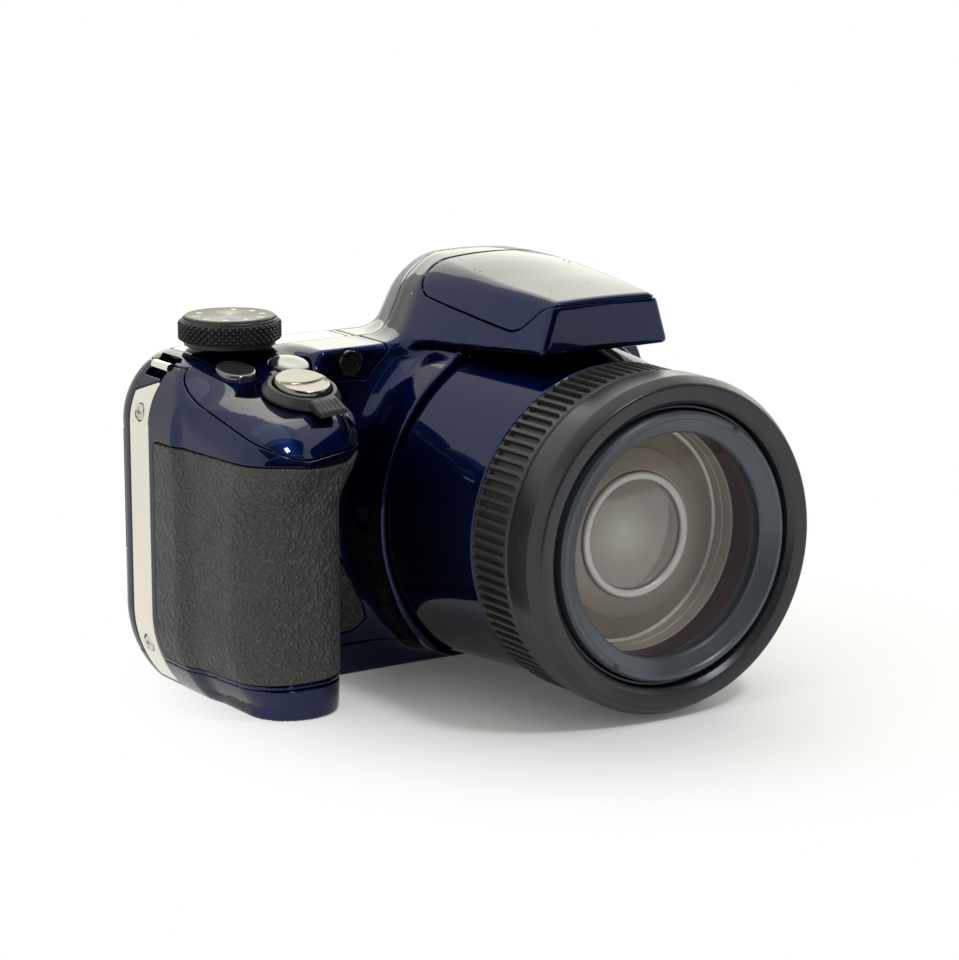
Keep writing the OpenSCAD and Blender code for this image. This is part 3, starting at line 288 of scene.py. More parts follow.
def split(points, tris, value, level):
    """Cuts the triangles along the line where value is level."""
    side = value >= level
    count = side[tris].sum(1)
    mixed = (count == 1) | (count == 2)
    if not mixed.any():
        return points, tris, value
    cut = tris[mixed]
    lone_side = count[mixed] == 1
    lone = np.argmax(side[cut] == lone_side[:, None], axis=1)
    rows = np.arange(len(cut))
    a, b, c = (cut[rows, (lone + i) % 3] for i in range(3))
    pairs = np.sort(np.concatenate([np.stack([a, b], 1), np.stack([a, c], 1)]), 1)
    ends, where = np.unique(pairs, axis=0, return_inverse=True)
    where = where.reshape(-1)
    p, q = ends.T
    t = ((level - value[p]) / (value[q] - value[p]))[:, None]
    ab, ac = len(points) + where[:len(cut)], len(points) + where[len(cut):]
    made = [np.stack(corners, 1) for corners in ((a, ab, ac), (ab, b, c), (ab, c, ac))]
    points = np.concatenate([points, points[p] + t * (points[q] - points[p])])
    value = np.concatenate([value, np.full(len(ends), level)])
    return points, np.concatenate([tris[~mixed]] + made), value


ROLL_STEPS = (0.0, 0.08, 0.3, 0.62, 1.0)


def carve(skin, field, zone, gap=SEAM, edge=EDGE, lift=0.0, rim=1.4, shell=False):
    """The part of a skin where zone is positive, with a rolled edge and a rim or a whole shell behind it.

    Returns points, faces and point normals. A lift raises it off the skin.
    """
    points, tris = skin
    value = zone(*points.T)
    near = np.abs(value) < 6
    along = np.ones(len(points))
    if near.any():
        n = unit(gradient(field, points[near]))
        g = gradient(zone, points[near])
        g = g - (g * n).sum(1)[:, None] * n
        along[near] = np.clip(np.linalg.norm(g, axis=1), 0.35, 3)
    value = value / along
    for s in ROLL_STEPS:
        points, tris, value = split(points, tris, value, gap + edge * s)
    tris = tris[value[tris].mean(1) > gap]
    used, tris = np.unique(tris, return_inverse=True)
    tris = tris.reshape(-1, 3)
    points, value = settled(field, points[used], 2), value[used]
    normals = unit(gradient(field, points))
    slide = gradient(zone, points)
    slide = unit(slide - (slide * normals).sum(1)[:, None] * normals)
    s = np.clip((value - gap) / edge, 0, 1)
    bend = 1 - s
    depth = edge * (1 - np.sqrt(np.maximum(1 - bend * bend, 0)))
    faced = unit(normals * np.sqrt(np.maximum(1 - bend * bend, 0))[:, None] - slide * bend[:, None])
    outer = points + normals * (lift - depth)[:, None]
    edges = np.sort(np.concatenate([tris[:, [0, 1]], tris[:, [1, 2]], tris[:, [2, 0]]]), 1)
    order = np.concatenate([tris[:, [0, 1]], tris[:, [1, 2]], tris[:, [2, 0]]])
    _, first, count = np.unique(edges, axis=0, return_index=True, return_counts=True)
    border = order[first[count == 1]]
    if shell:
        inner = points + normals * (lift - rim)
        n = len(outer)
        faces = tris.tolist() + (tris[:, ::-1] + n).tolist()
        faces += np.stack([border[:, 1], border[:, 0], border[:, 0] + n, border[:, 1] + n], 1).tolist()
        return np.concatenate([outer, inner]), faces, np.concatenate([faced, -normals])
    ids, border = np.unique(border, return_inverse=True)
    border = border.reshape(-1, 2)
    low = outer[ids] - normals[ids] * rim
    n = len(outer)
    back = np.stack([ids[border[:, 1]], ids[border[:, 0]], border[:, 0] + n, border[:, 1] + n], 1)
    return (np.concatenate([outer, low]), tris.tolist() + back.tolist(),
            np.concatenate([faced, faced[ids]]))


# Pieces

def piece(name, points, faces, finish, body, replaces=(), slot=None, normals=None, sharp=32,
          origin=(0, 0, 0)):
    """A mesh object in the part's frame that rides on a body."""
    mesh = bpy.data.meshes.new(name)
    mesh.from_pydata(((np.asarray(points, float) - origin) * MM).tolist(), [], faces)
    mesh.update()
    mesh.polygons.foreach_set("use_smooth", [True] * len(mesh.polygons))
    if normals is None:
        mesh.set_sharp_from_angle(angle=math.radians(sharp))
    else:
        mesh.normals_split_custom_set_from_vertices(np.asarray(normals, float).tolist())
    mesh.materials.append(finish)
    made = bpy.data.objects.new(name, mesh)
    made.location = [c * MM for c in origin]
    bpy.context.scene.collection.objects.link(made)
    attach(made, body)
    if replaces:
        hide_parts(*replaces)
    return made


def joined(*parts):
    """Several (points, faces) as one."""
    points, faces, start = [], [], 0
    for p, f in parts:
        points.append(np.asarray(p, float))
        faces += [[i + start for i in face] for face in f]
        start += len(p)
    return np.concatenate(points), faces


class Place:
    """An origin and three directions that put local points into the part's frame."""

    def __init__(self, origin, u, v, w):
        self.origin = np.array(origin, float)
        self.axes = np.array([u, v, w], float)

    def __call__(self, local):
        return self.origin + np.asarray(local, float) @ self.axes


LENS = Place((0, 0, LENS_Z), (1, 0, 0), (0, 0, 1), (0, -1, 0))


def on_deck(x, y):
    return Place((x, y, DECK_Z), (1, 0, 0), (0, 1, 0), (0, 0, 1))


def on_slope(x, y):
    c, s = math.cos(SLOPE), math.sin(SLOPE)
    return Place((x, y, DECK_Z + SLOPE_TAN * y), (1, 0, 0), (0, c, s), (0, -s, c))


def on_rear(x, z):
    return Place((x, REAR_Y, z), (-1, 0, 0), (0, 0, 1), (0, 1, 0))


def eased_corners(points, radius, steps=4):
    """A closed outline with each corner rounded; radius is one number or one for each corner."""
    points = np.asarray(points, float)
    radii = np.broadcast_to(np.asarray(radius, float), (len(points),))
    out = []
    for i, p in enumerate(points):
        a, b = points[i - 1] - p, points[(i + 1) % len(points)] - p
        la, lb = np.linalg.norm(a), np.linalg.norm(b)
        a, b = a / la, b / lb
        half = math.acos(np.clip(a @ b, -1, 1)) / 2
        if radii[i] <= 0 or half > math.radians(86):
            out.append(p)
            continue
        reach = min(radii[i] / math.tan(half), 0.48 * la, 0.48 * lb)
        start, end = p + a * reach, p + b * reach
        for k in range(steps + 1):
            t = k / steps
            out.append((1 - t) ** 2 * start + 2 * t * (1 - t) * p + t * t * end)
    return np.array(out)


def circle_angles(steps):
    return np.arange(steps) * 2 * math.pi / steps


def turned(profile, place, steps=128):
    """A closed profile of (radius, height) turned about a place's third axis."""
    profile = np.asarray(profile, float)
    n = len(profile)
    angle = circle_angles(steps)
    r, h = profile.T
    local = np.stack([np.outer(np.cos(angle), r), np.outer(np.sin(angle), r), np.tile(h, (steps, 1))], 2)
    i, j = np.meshgrid(np.arange(steps), np.arange(n), indexing="ij")
    k, m = (i + 1) % steps, (j + 1) % n
    faces = np.stack([i * n + j, k * n + j, k * n + m, i * n + m], -1).reshape(-1, 4)
    return place(local.reshape(-1, 3)), faces.tolist()


def ring_row(r, h, angle):
    """A ring of points, whose radius and height are one number or one for each angle."""
    return np.stack([r * np.cos(angle), r * np.sin(angle), np.broadcast_to(h, angle.shape)], 1)


def lofted(rows, place, closed=False):
    """Rings of points joined by quads, the last to the first too if closed."""
    n, around = len(rows), len(rows[0])
    i, j = np.meshgrid(np.arange(n if closed else n - 1), np.arange(around), indexing="ij")
    k, m = (i + 1) % n, (j + 1) % around
    faces = np.stack([i * around + j, i * around + m, k * around + m, k * around + j], -1)
    return place(np.concatenate(rows)), faces.reshape(-1, 4).tolist()


def slab_piece(outline, low, high, place, edge=0.3, steps=3):
    """A flat plate of a convex outline with rounded upper edges."""
    outline = np.asarray(outline, float)
    centre = outline.mean(0)
    out = outline - centre
    tangent = np.roll(outline, -1, 0) - np.roll(outline, 1, 0)
    normal = np.stack([tangent[:, 1], -tangent[:, 0]], 1)
    normal = unit(normal) * np.sign((normal * out).sum(1))[:, None]
    rings = [(0.0, low)]
    for k in range(steps + 1):
        a = math.pi / 2 * k / steps
        rings.append((edge * (1 - math.cos(a)), high - edge * (1 - math.sin(a))))
    n = len(outline)
    rows = [np.column_stack([outline - normal * inset, np.full(n, h)]) for inset, h in rings]
    points, faces = lofted(rows, place)
    top = len(points) - n
    return points, faces + [list(range(n))[::-1], list(range(top, top + n))]


def circle(r, steps):
    a = circle_angles(steps)
    return np.stack([r * np.cos(a), r * np.sin(a)], 1)


def rounded_box(half_width, half_height, radius, steps=4):
    w, h = half_width, half_height
    return eased_corners([(-w, -h), (w, -h), (w, h), (-w, h)], radius, steps)


# Finishes

class Finish:
    """A material's nodes, with the few steps that the finishes below share."""

    def __init__(self, name, colour, rough, metal=0.0, **sockets):
        self.material = bpy.data.materials.new(name)
        self.material.use_nodes = True
        self.tree = self.material.node_tree
        self.shader = self.tree.nodes["Principled BSDF"]
        self.shader.inputs["Base Color"].default_value = (*colour, 1)
        self.shader.inputs["Roughness"].default_value = rough
        self.shader.inputs["Metallic"].default_value = metal
        for key, value in sockets.items():
            self.shader.inputs[key.replace("_", " ")].default_value = value
        self.coordinate = self.add("ShaderNodeTexCoord")

    def add(self, kind, **settings):
        """A node, set by the names of its sockets, with _ for a space, and of its properties."""
        made = self.tree.nodes.new(kind)
        for key, value in settings.items():
            socket = key.replace("_", " ")
            if socket in made.inputs:
                made.inputs[socket].default_value = value
            else:
                setattr(made, key, value)
        return made

    def link(self, out, into):
        self.tree.links.new(out, into)

    def noise(self, scale, detail=3.0, roughness=0.55, stretch=None):
        made = self.add("ShaderNodeTexNoise", Scale=scale, Detail=detail, Roughness=roughness)
        source = self.coordinate.outputs["Object"]
        if stretch:
            place = self.add("ShaderNodeMapping", Scale=stretch)
            self.link(source, place.inputs["Vector"])
            source = place.outputs["Vector"]
        self.link(source, made.inputs["Vector"])
        return made.outputs["Fac"]

    def span(self, source, low, high, frm=(0.3, 0.7)):
        made = self.add("ShaderNodeMapRange", From_Min=frm[0], From_Max=frm[1], To_Min=low, To_Max=high)
        self.link(source, made.inputs["Value"])
        return made.outputs["Result"]

    def distance(self, point):
        """How far each place is from a point of the object, in metres."""
        made = self.add("ShaderNodeVectorMath", operation="DISTANCE")
        self.link(self.coordinate.outputs["Object"], made.inputs[0])
        made.inputs[1].default_value = point
        return made.outputs["Value"]

    def combine(self, operation, source, other):
        """A source combined with another source or with a number."""
        made = self.add("ShaderNodeMath", operation=operation)
        self.link(source, made.inputs[0])
        if isinstance(other, float):
            made.inputs[1].default_value = other
        else:
            self.link(other, made.inputs[1])
        return made.outputs[0]

    def vary_colour(self, source, low, high, frm=(0.3, 0.7)):
        ramp = self.add("ShaderNodeValToRGB")
        ramp.color_ramp.elements[0].position = frm[0]
        ramp.color_ramp.elements[1].position = frm[1]
        ramp.color_ramp.elements[0].color = (*low, 1)
        ramp.color_ramp.elements[1].color = (*high, 1)
        self.link(source, ramp.inputs["Fac"])
        self.link(ramp.outputs["Color"], self.shader.inputs["Base Color"])
        return self

    def vary_rough(self, source, low, high):
        self.link(self.span(source, low, high), self.shader.inputs["Roughness"])
        return self

    def bump(self, source, depth, strength=1.0):
        made = self.add("ShaderNodeBump", Strength=strength, Distance=depth)
        self.link(source, made.inputs["Height"])
        self.link(made.outputs["Normal"], self.shader.inputs["Normal"])
        return self


def shade(colour, factor):
    return tuple(c * factor for c in colour)


def plain(name, colour, rough, metal=0.0, grain=900.0, depth=0.00001, spread=0.12, **sockets):
    """A moulded or machined surface: slight changes of tone and gloss, and a fine grain."""
    made = Finish(name, colour, rough, metal, **sockets)
    tone = made.noise(grain * 0.05)
    made.vary_colour(tone, shade(colour, 1 - spread), shade(colour, 1 + spread))
    made.vary_rough(made.noise(grain * 0.2), rough * 0.92, min(1.0, rough * 1.08))
    if depth:
        made.bump(made.noise(grain, 2.0), depth)
    return made.material


def body_paint():
    """Midnight blue flakes, dark at a slant, under a thick clear coat."""
    made = Finish("midnight_paint", (0.002, 0.009, 0.060), 0.42, 1.0, Specular_Tint=(0.02, 0.02, 0.02, 1),
                  Coat_Weight=1.0, Coat_Roughness=0.03, Coat_IOR=1.4)
    made.vary_colour(made.noise(5200.0, 1.0), (0.0011, 0.0042, 0.028), (0.0042, 0.0185, 0.100))
    made.vary_rough(made.noise(70.0), 0.39, 0.45)
    return made.material


def leather():
    """Moulded rubber with a wrinkled leather grain, its grooves darkened in colour as painted shade."""
    made = Finish("grip_leather", (0.045, 0.045, 0.043), 0.55, 0.0, Specular_IOR_Level=0.6)
    warp = made.add("ShaderNodeMixRGB", blend_type="ADD", Fac=0.0012)
    wander = made.add("ShaderNodeTexNoise", Scale=900.0)
    cells = made.add("ShaderNodeTexVoronoi", feature="SMOOTH_F1", Scale=900.0, Smoothness=0.25)
    for into in (wander.inputs["Vector"], warp.inputs["Color1"]):
        made.link(made.coordinate.outputs["Object"], into)
    made.link(wander.outputs["Color"], warp.inputs["Color2"])
    made.link(warp.outputs["Color"], cells.inputs["Vector"])
    pebble_and_groove_shade = made.span(cells.outputs["Distance"], 1.0, 0.0, (0.15, 0.62))
    made.bump(pebble_and_groove_shade, 0.00055, 1.0)
    # The colour follows the grain's height: paler tops and darker grooves, which is painted shade in the
    # grooves.
    made.vary_colour(pebble_and_groove_shade, (0.038, 0.039, 0.036), (0.084, 0.085, 0.078), (0.0, 1.0))
    made.vary_rough(made.noise(260.0), 0.46, 0.6)
    return made.material


def brushed(name, colour, rough, stretch, depth=0.000004):
    """Metal with fine lines along the short side of stretch."""
    made = Finish(name, colour, rough, 1.0)
    lines = made.noise(900.0, 4.0, 0.7, stretch)
    made.vary_colour(lines, shade(colour, 0.86), shade(colour, 1.08))
    made.vary_rough(lines, rough * 0.85, rough * 1.2)
    made.bump(lines, depth)
    return made.material


def clear_glass(name, tint, rough):
    made = Finish(name, tint, rough, 0.0, Transmission_Weight=1.0, IOR=1.5)
    made.vary_colour(made.noise(30.0), shade(tint, 0.97), tint)
    return made.material


PAINT = body_paint()
LEATHER = leather()
CAP_METAL = plain("cap_metal", (0.24, 0.228, 0.196), 0.22, 1.0, 500.0, 0.000002, 0.05)
CHROME = plain("chrome_trim", (0.76, 0.73, 0.62), 0.16, 1.0, 500.0, 0.000002, 0.05)
SILVER = brushed("silver_band", (0.57, 0.56, 0.50), 0.26, (1, 0.05, 1))
SCREW = plain("screw_steel", (0.62, 0.60, 0.54), 0.28, 1.0, 700.0, 0.000003)
BLACK = plain("black_plastic", (0.020, 0.020, 0.021), 0.42, 0.0, 1800.0, 0.000008)
GLOSS_BLACK = plain("gloss_black", (0.010, 0.010, 0.011), 0.12, 0.0, 900.0, 0.0)
SATIN = plain("dark_satin", (0.042, 0.042, 0.042), 0.40, 0.1, 2200.0, 0.00001)
RIBS = plain("ribbed_satin", (0.040, 0.040, 0.038), 0.46, 0.0, 2400.0, 0.00001)
BEZEL = plain("bezel_satin", (0.030, 0.032, 0.036), 0.30, 0.3, 2600.0, 0.000006)
RING_BLUE = plain("barrel_blue_grey", (0.075, 0.087, 0.105), 0.36, 0.35, 2200.0, 0.000005)
KEY_GREY = plain("key_grey", (0.10, 0.10, 0.095), 0.30, 0.3, 1500.0, 0.000006)
KEY_GLOSS = plain("key_gloss", (0.16, 0.16, 0.15), 0.14, 0.8, 1500.0, 0.0, Coat_Weight=0.6,
                  Coat_Roughness=0.04)
GLASS = plain("coated_glass", (0.03, 0.026, 0.024), 0.03, 0.0, 60.0, 0.0, Alpha=0.10, Coat_Weight=1.0,
              Coat_Roughness=0.02, Coat_IOR=1.7)
CLEAR = clear_glass("clear_plastic", (0.92, 0.93, 0.92), 0.08)
SCREEN_GLASS = plain("screen_glass", (0.006, 0.007, 0.009), 0.06, 0.0, 60.0, 0.0, Coat_Weight=1.0,
                     Coat_Roughness=0.02)
BRASS = plain("brass", (0.72, 0.52, 0.24), 0.32, 1.0, 700.0, 0.000004)
STEEL = plain("inner_metal", (0.55, 0.55, 0.56), 0.38, 1.0, 600.0, 0.000006)
BOARD = plain("board_green", (0.015, 0.10, 0.045), 0.45, 0.0, 1500.0, 0.00001)
WHITE_MARK = plain("mark_white", (0.82, 0.82, 0.80), 0.5, 0.0, 900.0, 0.0, 0.04)
RED_MARK = plain("mark_red", (0.62, 0.06, 0.04), 0.5, 0.0, 900.0, 0.0, 0.06)
CELL_GREY = plain("cell_grey", (0.80, 0.79, 0.76), 0.35, 0.2, 900.0, 0.000004)
CELL_BROWN = plain("cell_brown", (0.44, 0.385, 0.33), 0.42, 0.1, 700.0, 0.000004)
MAROON = plain("coating_maroon", (0.050, 0.015, 0.028), 0.30, 0.2, 700.0, 0.000004)


# Zones that share the skin out among the covers: positive inside

def inset(corners, r):
    """A convex anticlockwise polygon with every edge moved in by r."""
    corners = np.asarray(corners, float)
    ahead = np.roll(corners, -1, 0) - corners
    ahead = ahead / np.linalg.norm(ahead, axis=1)[:, None]
    inward = np.stack([-ahead[:, 1], ahead[:, 0]], 1)
    out = []
    for i in range(len(corners)):
        n0, n1 = inward[i - 1], inward[i]
        move = r * (n0 + n1) / (1 + n0 @ n1)
        out.append(tuple(corners[i] + move))
    return out


def hole(x, y, px, py, r):
    return r - np.hypot(x - px, y - py)


def rounded_polygon(corners, r):
    """Positive inside a convex polygon whose corners are rounded."""
    core = inset(corners, r)
    return lambda u, v: r - polygon_distance(u, v, core)


# The top cover's seam: its height, its fall along x, its rise along y and its dip past the flank
TOP_SEAM_Z, TOP_SEAM_FALL, TOP_SEAM_RISE, TOP_SEAM_DIP = 61.1, 0.11, 0.25, 1.2
TOP_BACK_Z, TOP_BACK_Y, TOP_BACK_SLOPE = 67.5, -10.0, 1.38
DECK_SEAM_Z, DECK_SEAM_Y = 71.0, -9.0
TOP_INNER_X, TOP_LENS_R = -28.5, 44.7


def top_zone(x, y, z):
    """The top cover: the nose down to a slanted seam with a round rear corner, and the deck behind it."""
    dip = TOP_SEAM_DIP * ease((x + 76) / 12)
    seam = (z - TOP_SEAM_Z + TOP_SEAM_FALL * x - TOP_SEAM_RISE * y + dip) / 1.04
    back = (TOP_BACK_SLOPE * (z - TOP_BACK_Z) + TOP_BACK_Y - y) / 1.7
    nose = -rounded_both(-seam, -back, 2.5)
    deck = np.minimum(z - DECK_SEAM_Z, y - DECK_SEAM_Y)
    return least(np.maximum(nose, deck), TOP_INNER_X - x, axis_distance(x, z) - TOP_LENS_R)


RUBBER_REAR, RUBBER_LOW, RUBBER_HIGH = -3.4, 8.2, 55.8
rubber_inner = curve([8, 12, 14.2, 18.4, 22, 25.6, 34, 45, 56],
                     [-35.2, -35.2, -35.8, -37.8, -39.5, -41.2, -45.5, -47.5, -47.5])


def rubber_zone(x, y, z):
    """The grip's skin: round its flank and front, with a tongue low on the body's front."""
    low = RUBBER_LOW + 1.6 * ease((x + 60) / 20)
    high = RUBBER_HIGH - 1.7 * ease((x + 74) / 17) + 1.2 * ease((x + 53.5) / 3)
    corner = -rounded_both(x - rubber_inner(z), low - z, 4.0)
    top = -rounded_both(z - high, y - RUBBER_REAR, 1.5)
    return np.minimum(corner, top)


LID_REAR, LID_ROOM = -9.6, 0.6
LID_EDGE_Y, LID_EDGE_Z, LID_EDGE_RISE = -18.6, 82.3, 0.14
LID_NOTCH_Y, LID_NOTCH_Z, LID_NOTCH_FALL = -46.7, 80.7, 0.94
LID_BROW_Z = 85.3


def lid_zone(x, y, z, room=0.0):
    """The flash lid from the side: a slanted lower edge, a notch near the front and a round rear corner."""
    under = (z - LID_EDGE_Z - LID_EDGE_RISE * (y - LID_EDGE_Y)) / 1.01
    notch = (z - LID_NOTCH_Z + LID_NOTCH_FALL * (y - LID_NOTCH_Y)) / 1.37
    brow = z - LID_BROW_Z
    front = -blended(-notch, -brow, 2.0)
    return -rounded_both(rounded_both(-under, -front, 1.8), y - LID_REAR - room, 5.5)


STRIP_Y = (-1.1, 7.3)
STRIP_MID = 3.2


def strip_zone(x, y, z):
    out = np.maximum(-60 - x, x - 25)
    top = 66.6 - 0.35 * (y - STRIP_MID)
    return least(y - STRIP_Y[0], STRIP_Y[1] - y, z - 1.2, top - z, out)


STRIP_SCREWS = (10.0, 61.0)
SCREW_HOLE_R = 1.95


def strip_holes(x, y, z):
    d = -50.0
    for height in STRIP_SCREWS:
        d = np.maximum(d, hole(y, z, STRIP_MID, height, SCREW_HOLE_R))
    return np.minimum(d, np.maximum(-70 - x, x - 30))


LUG_X = (-74.8, 34.8)
LUG_Z = 70.0
LUG_Y = (-0.4, 6.8)


def notch_zone(x, y, z):
    """Pockets in the shoulders for the strap lugs, cut square to the rounded corner."""
    outward = np.where(x < -20, LUG_X[0] - x, x - LUG_X[1])
    across = (z - LUG_Z) * 0.78 - outward * 0.62
    out = np.minimum(z - 62, np.maximum(-66 - x, x - 26))
    return least(2.9 - np.abs(across), y - LUG_Y[0], LUG_Y[1] - y, out)


BAND_X, BAND_Y = (-69.5, -30.5), (1.3, 10.3)


def band_zone(x, y, z):
    return least(x - BAND_X[0], BAND_X[1] - x, y - BAND_Y[0], BAND_Y[1] - y, z - 70.5)


DIAL_X, DIAL_Y = -59.0, 3.0
SHUTTER_X, SHUTTER_Y = -57.5, -24.5
KEYS = {"burst_button": (-65.0, -10.0), "exposure_button": (-51.6, -10.0)}
LAMP_X, LAMP_Z = -38.0, 69.6
DIAL_HOLE_R, SHUTTER_HOLE_R, KEY_HOLE_R, LAMP_HOLE_R = 3.3, 7.6, 4.5, 3.0


def deck_holes(x, y, z):
    lean = math.cos(SLOPE)
    d = hole(x, y, DIAL_X, DIAL_Y, DIAL_HOLE_R)
    d = np.maximum(d, hole(x, y / lean, SHUTTER_X, SHUTTER_Y / lean, SHUTTER_HOLE_R))
    for px, py in KEYS.values():
        d = np.maximum(d, hole(x, y / lean, px, py / lean, KEY_HOLE_R))
    return np.minimum(d, z - 60)


def lamp_hole(x, y, z):
    return np.minimum(hole(x, z, LAMP_X, LAMP_Z, LAMP_HOLE_R), -9.0 - y)


SCREEN = (-33.5, 32.5, 12.0, 62.0)
PAD = (-54.0, 32.0)
PAD_HOLE_R, REAR_KEY_HOLE_R = 9.2, 3.4
REAR_KEYS = {"menu_button": (-65.0, 49.0), "play_button": (-43.0, 49.0), "delete_button": (-65.0, 15.0),
             "video_button": (-45.0, 62.0)}
SCREEN_ROOM = 0.2
screen_low = (SCREEN[0] - SCREEN_ROOM, SCREEN[2] - SCREEN_ROOM)
screen_high = (SCREEN[1] + SCREEN_ROOM, SCREEN[3] + SCREEN_ROOM)
screen_hole = rounded_polygon([screen_low, (screen_high[0], screen_low[1]), screen_high,
                               (screen_low[0], screen_high[1])], 2.0)


def rear_holes(x, y, z):
    d = np.maximum(screen_hole(x, z), hole(x, z, *PAD, PAD_HOLE_R))
    for px, pz in REAR_KEYS.values():
        d = np.maximum(d, hole(x, z, px, pz, REAR_KEY_HOLE_R))
    return np.minimum(d, y - 13)


PORT_Z = (29.5, 56.5)


def port_zone(x, y, z):
    reach = 4.5 - np.hypot(x + 80.7, y - 11.5)
    return least(z - PORT_Z[0], PORT_Z[1] - z, y - 10.7, reach)


door_side = rounded_polygon([(-69.2, -29), (-56, -29), (-50.3, 9), (-69.2, 9)], 0.8)
door_gap = rounded_polygon([(-70.0, -29), (-56, -29), (-50.3, 9), (-70.0, 9)], 0.8)
BASE_SCREWS = [(-44, -6), (-44, 10), (30.5, -6), (30.5, 10)]
SOCKET_HOLE_R = 5.05


def door_zone(x, y, z, outline=door_side):
    return np.minimum(outline(x, y), 3.0 - z)


def base_holes(x, y, z):
    d = hole(x, y, 0, 0, SOCKET_HOLE_R)
    for px, py in BASE_SCREWS:
        d = np.maximum(d, hole(x, y, px, py, SCREW_HOLE_R))
    return np.minimum(d, 3.0 - z)


LENS_HOLE_R, LENS_HOLE_Y = 38.75, (-29.5, -12.8)


def lens_hole(x, y, z):
    return least(LENS_HOLE_R - axis_distance(x, z), y - LENS_HOLE_Y[0], LENS_HOLE_Y[1] - y)


PART_Y, BASE_H = -0.5, 7.0


def front_zone(x, y, z):
    return least(PART_Y - y, z - BASE_H, -top_zone(x, y, z), -rubber_zone(x, y, z),
                 -lid_zone(x, y, z, LID_ROOM), -lens_hole(x, y, z), -lamp_hole(x, y, z),
                 -strip_zone(x, y, z), -notch_zone(x, y, z))


def top_cover_zone(x, y, z):
    return least(top_zone(x, y, z), -band_zone(x, y, z), -deck_holes(x, y, z), -notch_zone(x, y, z),
                 -lamp_hole(x, y, z))


def rear_zone(x, y, z):
    return least(y - PART_Y, z - BASE_H, -top_zone(x, y, z), -strip_zone(x, y, z), -notch_zone(x, y, z),
                 -rear_holes(x, y, z), -port_zone(x, y, z))


def bottom_zone(x, y, z):
    return least(BASE_H - z, -strip_zone(x, y, z), -door_zone(x, y, z, door_gap), -base_holes(x, y, z),
                 -lens_hole(x, y, z))


# Covers

SKIN_STEP = 0.7
BODY_SKIN = field_skin(body_field, (-85, -58, -3), (45, 19, 94), SKIN_STEP)


def cover(name, zone, finish, body="body", slot=None, **carving):
    points, faces, normals = carve(BODY_SKIN, body_field, zone, **carving)
    return piece(name + "_skin", points, faces, finish, body, (name,), slot, normals)


cover("front_cover", front_zone, PAINT, slot="body_blue", rim=0.6)
cover("top_cover", top_cover_zone, PAINT, slot="body_blue")
cover("rear_cover", rear_zone, PAINT, slot="body_blue")
cover("bottom_cover", bottom_zone, PAINT, slot="body_blue")
cover("grip_rubber", rubber_zone, LEATHER, slot="grip_rubber", lift=0.25, edge=0.55, rim=1.4)
cover("flash_lid", lid_zone, PAINT, "flash", "body_blue", rim=0.9, shell=True)
cover("port_door", port_zone, PAINT, "port_door", "black_plastic", rim=1.4, shell=True)
cover("battery_door", door_zone, PAINT, "battery_door", "body_blue", rim=2.2, shell=True)
cover("top_trim", band_zone, SILVER, slot="silver", gap=0.06, edge=0.2, rim=1.0, shell=True)
for side_name, sign in (("left", -1), ("right", 1)):
    def trim_zone(x, y, z, sign=sign):
        return least(strip_zone(x, y, z), -strip_holes(x, y, z), sign * x)

    cover(f"side_trim_{side_name}", trim_zone, CHROME, slot="chrome", gap=0.06, edge=0.3, rim=1.0,
          shell=True)

shroud_skin = field_skin(shroud_field, (-42, -58, -3), (42, -10, 79), SKIN_STEP)
SHROUD_BACK = -12.6


def shroud_zone(x, y, z):
    return least(SHROUD_BACK - y, np.maximum(axis_distance(x, z) - 32.6, y + 55.6))


points, faces, normals = carve(shroud_skin, shroud_field, shroud_zone, gap=0.0, edge=0.2, rim=2.0)
piece("lens_shroud_skin", points, faces, PAINT, "body", ("lens_shroud",), "body_blue", normals)


# Lens

def lens_ring(name, profile, finish, body, node, slot, soft=0.25, steps=192):
    points, faces = turned(eased_corners(profile, soft), LENS, steps)
    return piece(name, points, faces, finish, body, (node,) if node else (), slot)


RIB_COUNT, RIB_SAMPLES = 100, 12
RIB_REAR, RIB_FRONT = 56.3, 69.1
RIB_R, RIB_INNER_R, RIB_DEPTH, RIB_CHAMFER = 35.65, 32.6, 1.25, 0.35


def ribbed_ring():
    """Ribs along the ring, whose grooves rise to a point at the front."""
    around = RIB_COUNT * RIB_SAMPLES
    along = np.concatenate([[0, 0.02, 0.05], np.linspace(0.1, 0.78, 5), np.linspace(0.8, 0.94, 8), [0.97, 1]])
    phase = (np.arange(around) % RIB_SAMPLES) / RIB_SAMPLES
    angle = circle_angles(around)
    rows = [ring_row(RIB_INNER_R, RIB_REAR, angle)]
    for t in along:
        end = ease(t / 0.05) * (1 - ease((t - 0.80) / 0.14))
        width = mix(0.10, 0.26, end)
        groove = ease((width + 0.08 - np.abs(phase - 0.5 - 0.10 * (1 - end))) / 0.10)
        chamfer = RIB_CHAMFER if t in (0, 1) else 0.0
        rows.append(ring_row(RIB_R - RIB_DEPTH * groove * end - chamfer, mix(RIB_REAR, RIB_FRONT, t), angle))
    rows.append(ring_row(RIB_INNER_R, RIB_FRONT, angle))
    return lofted(rows, LENS, closed=True)


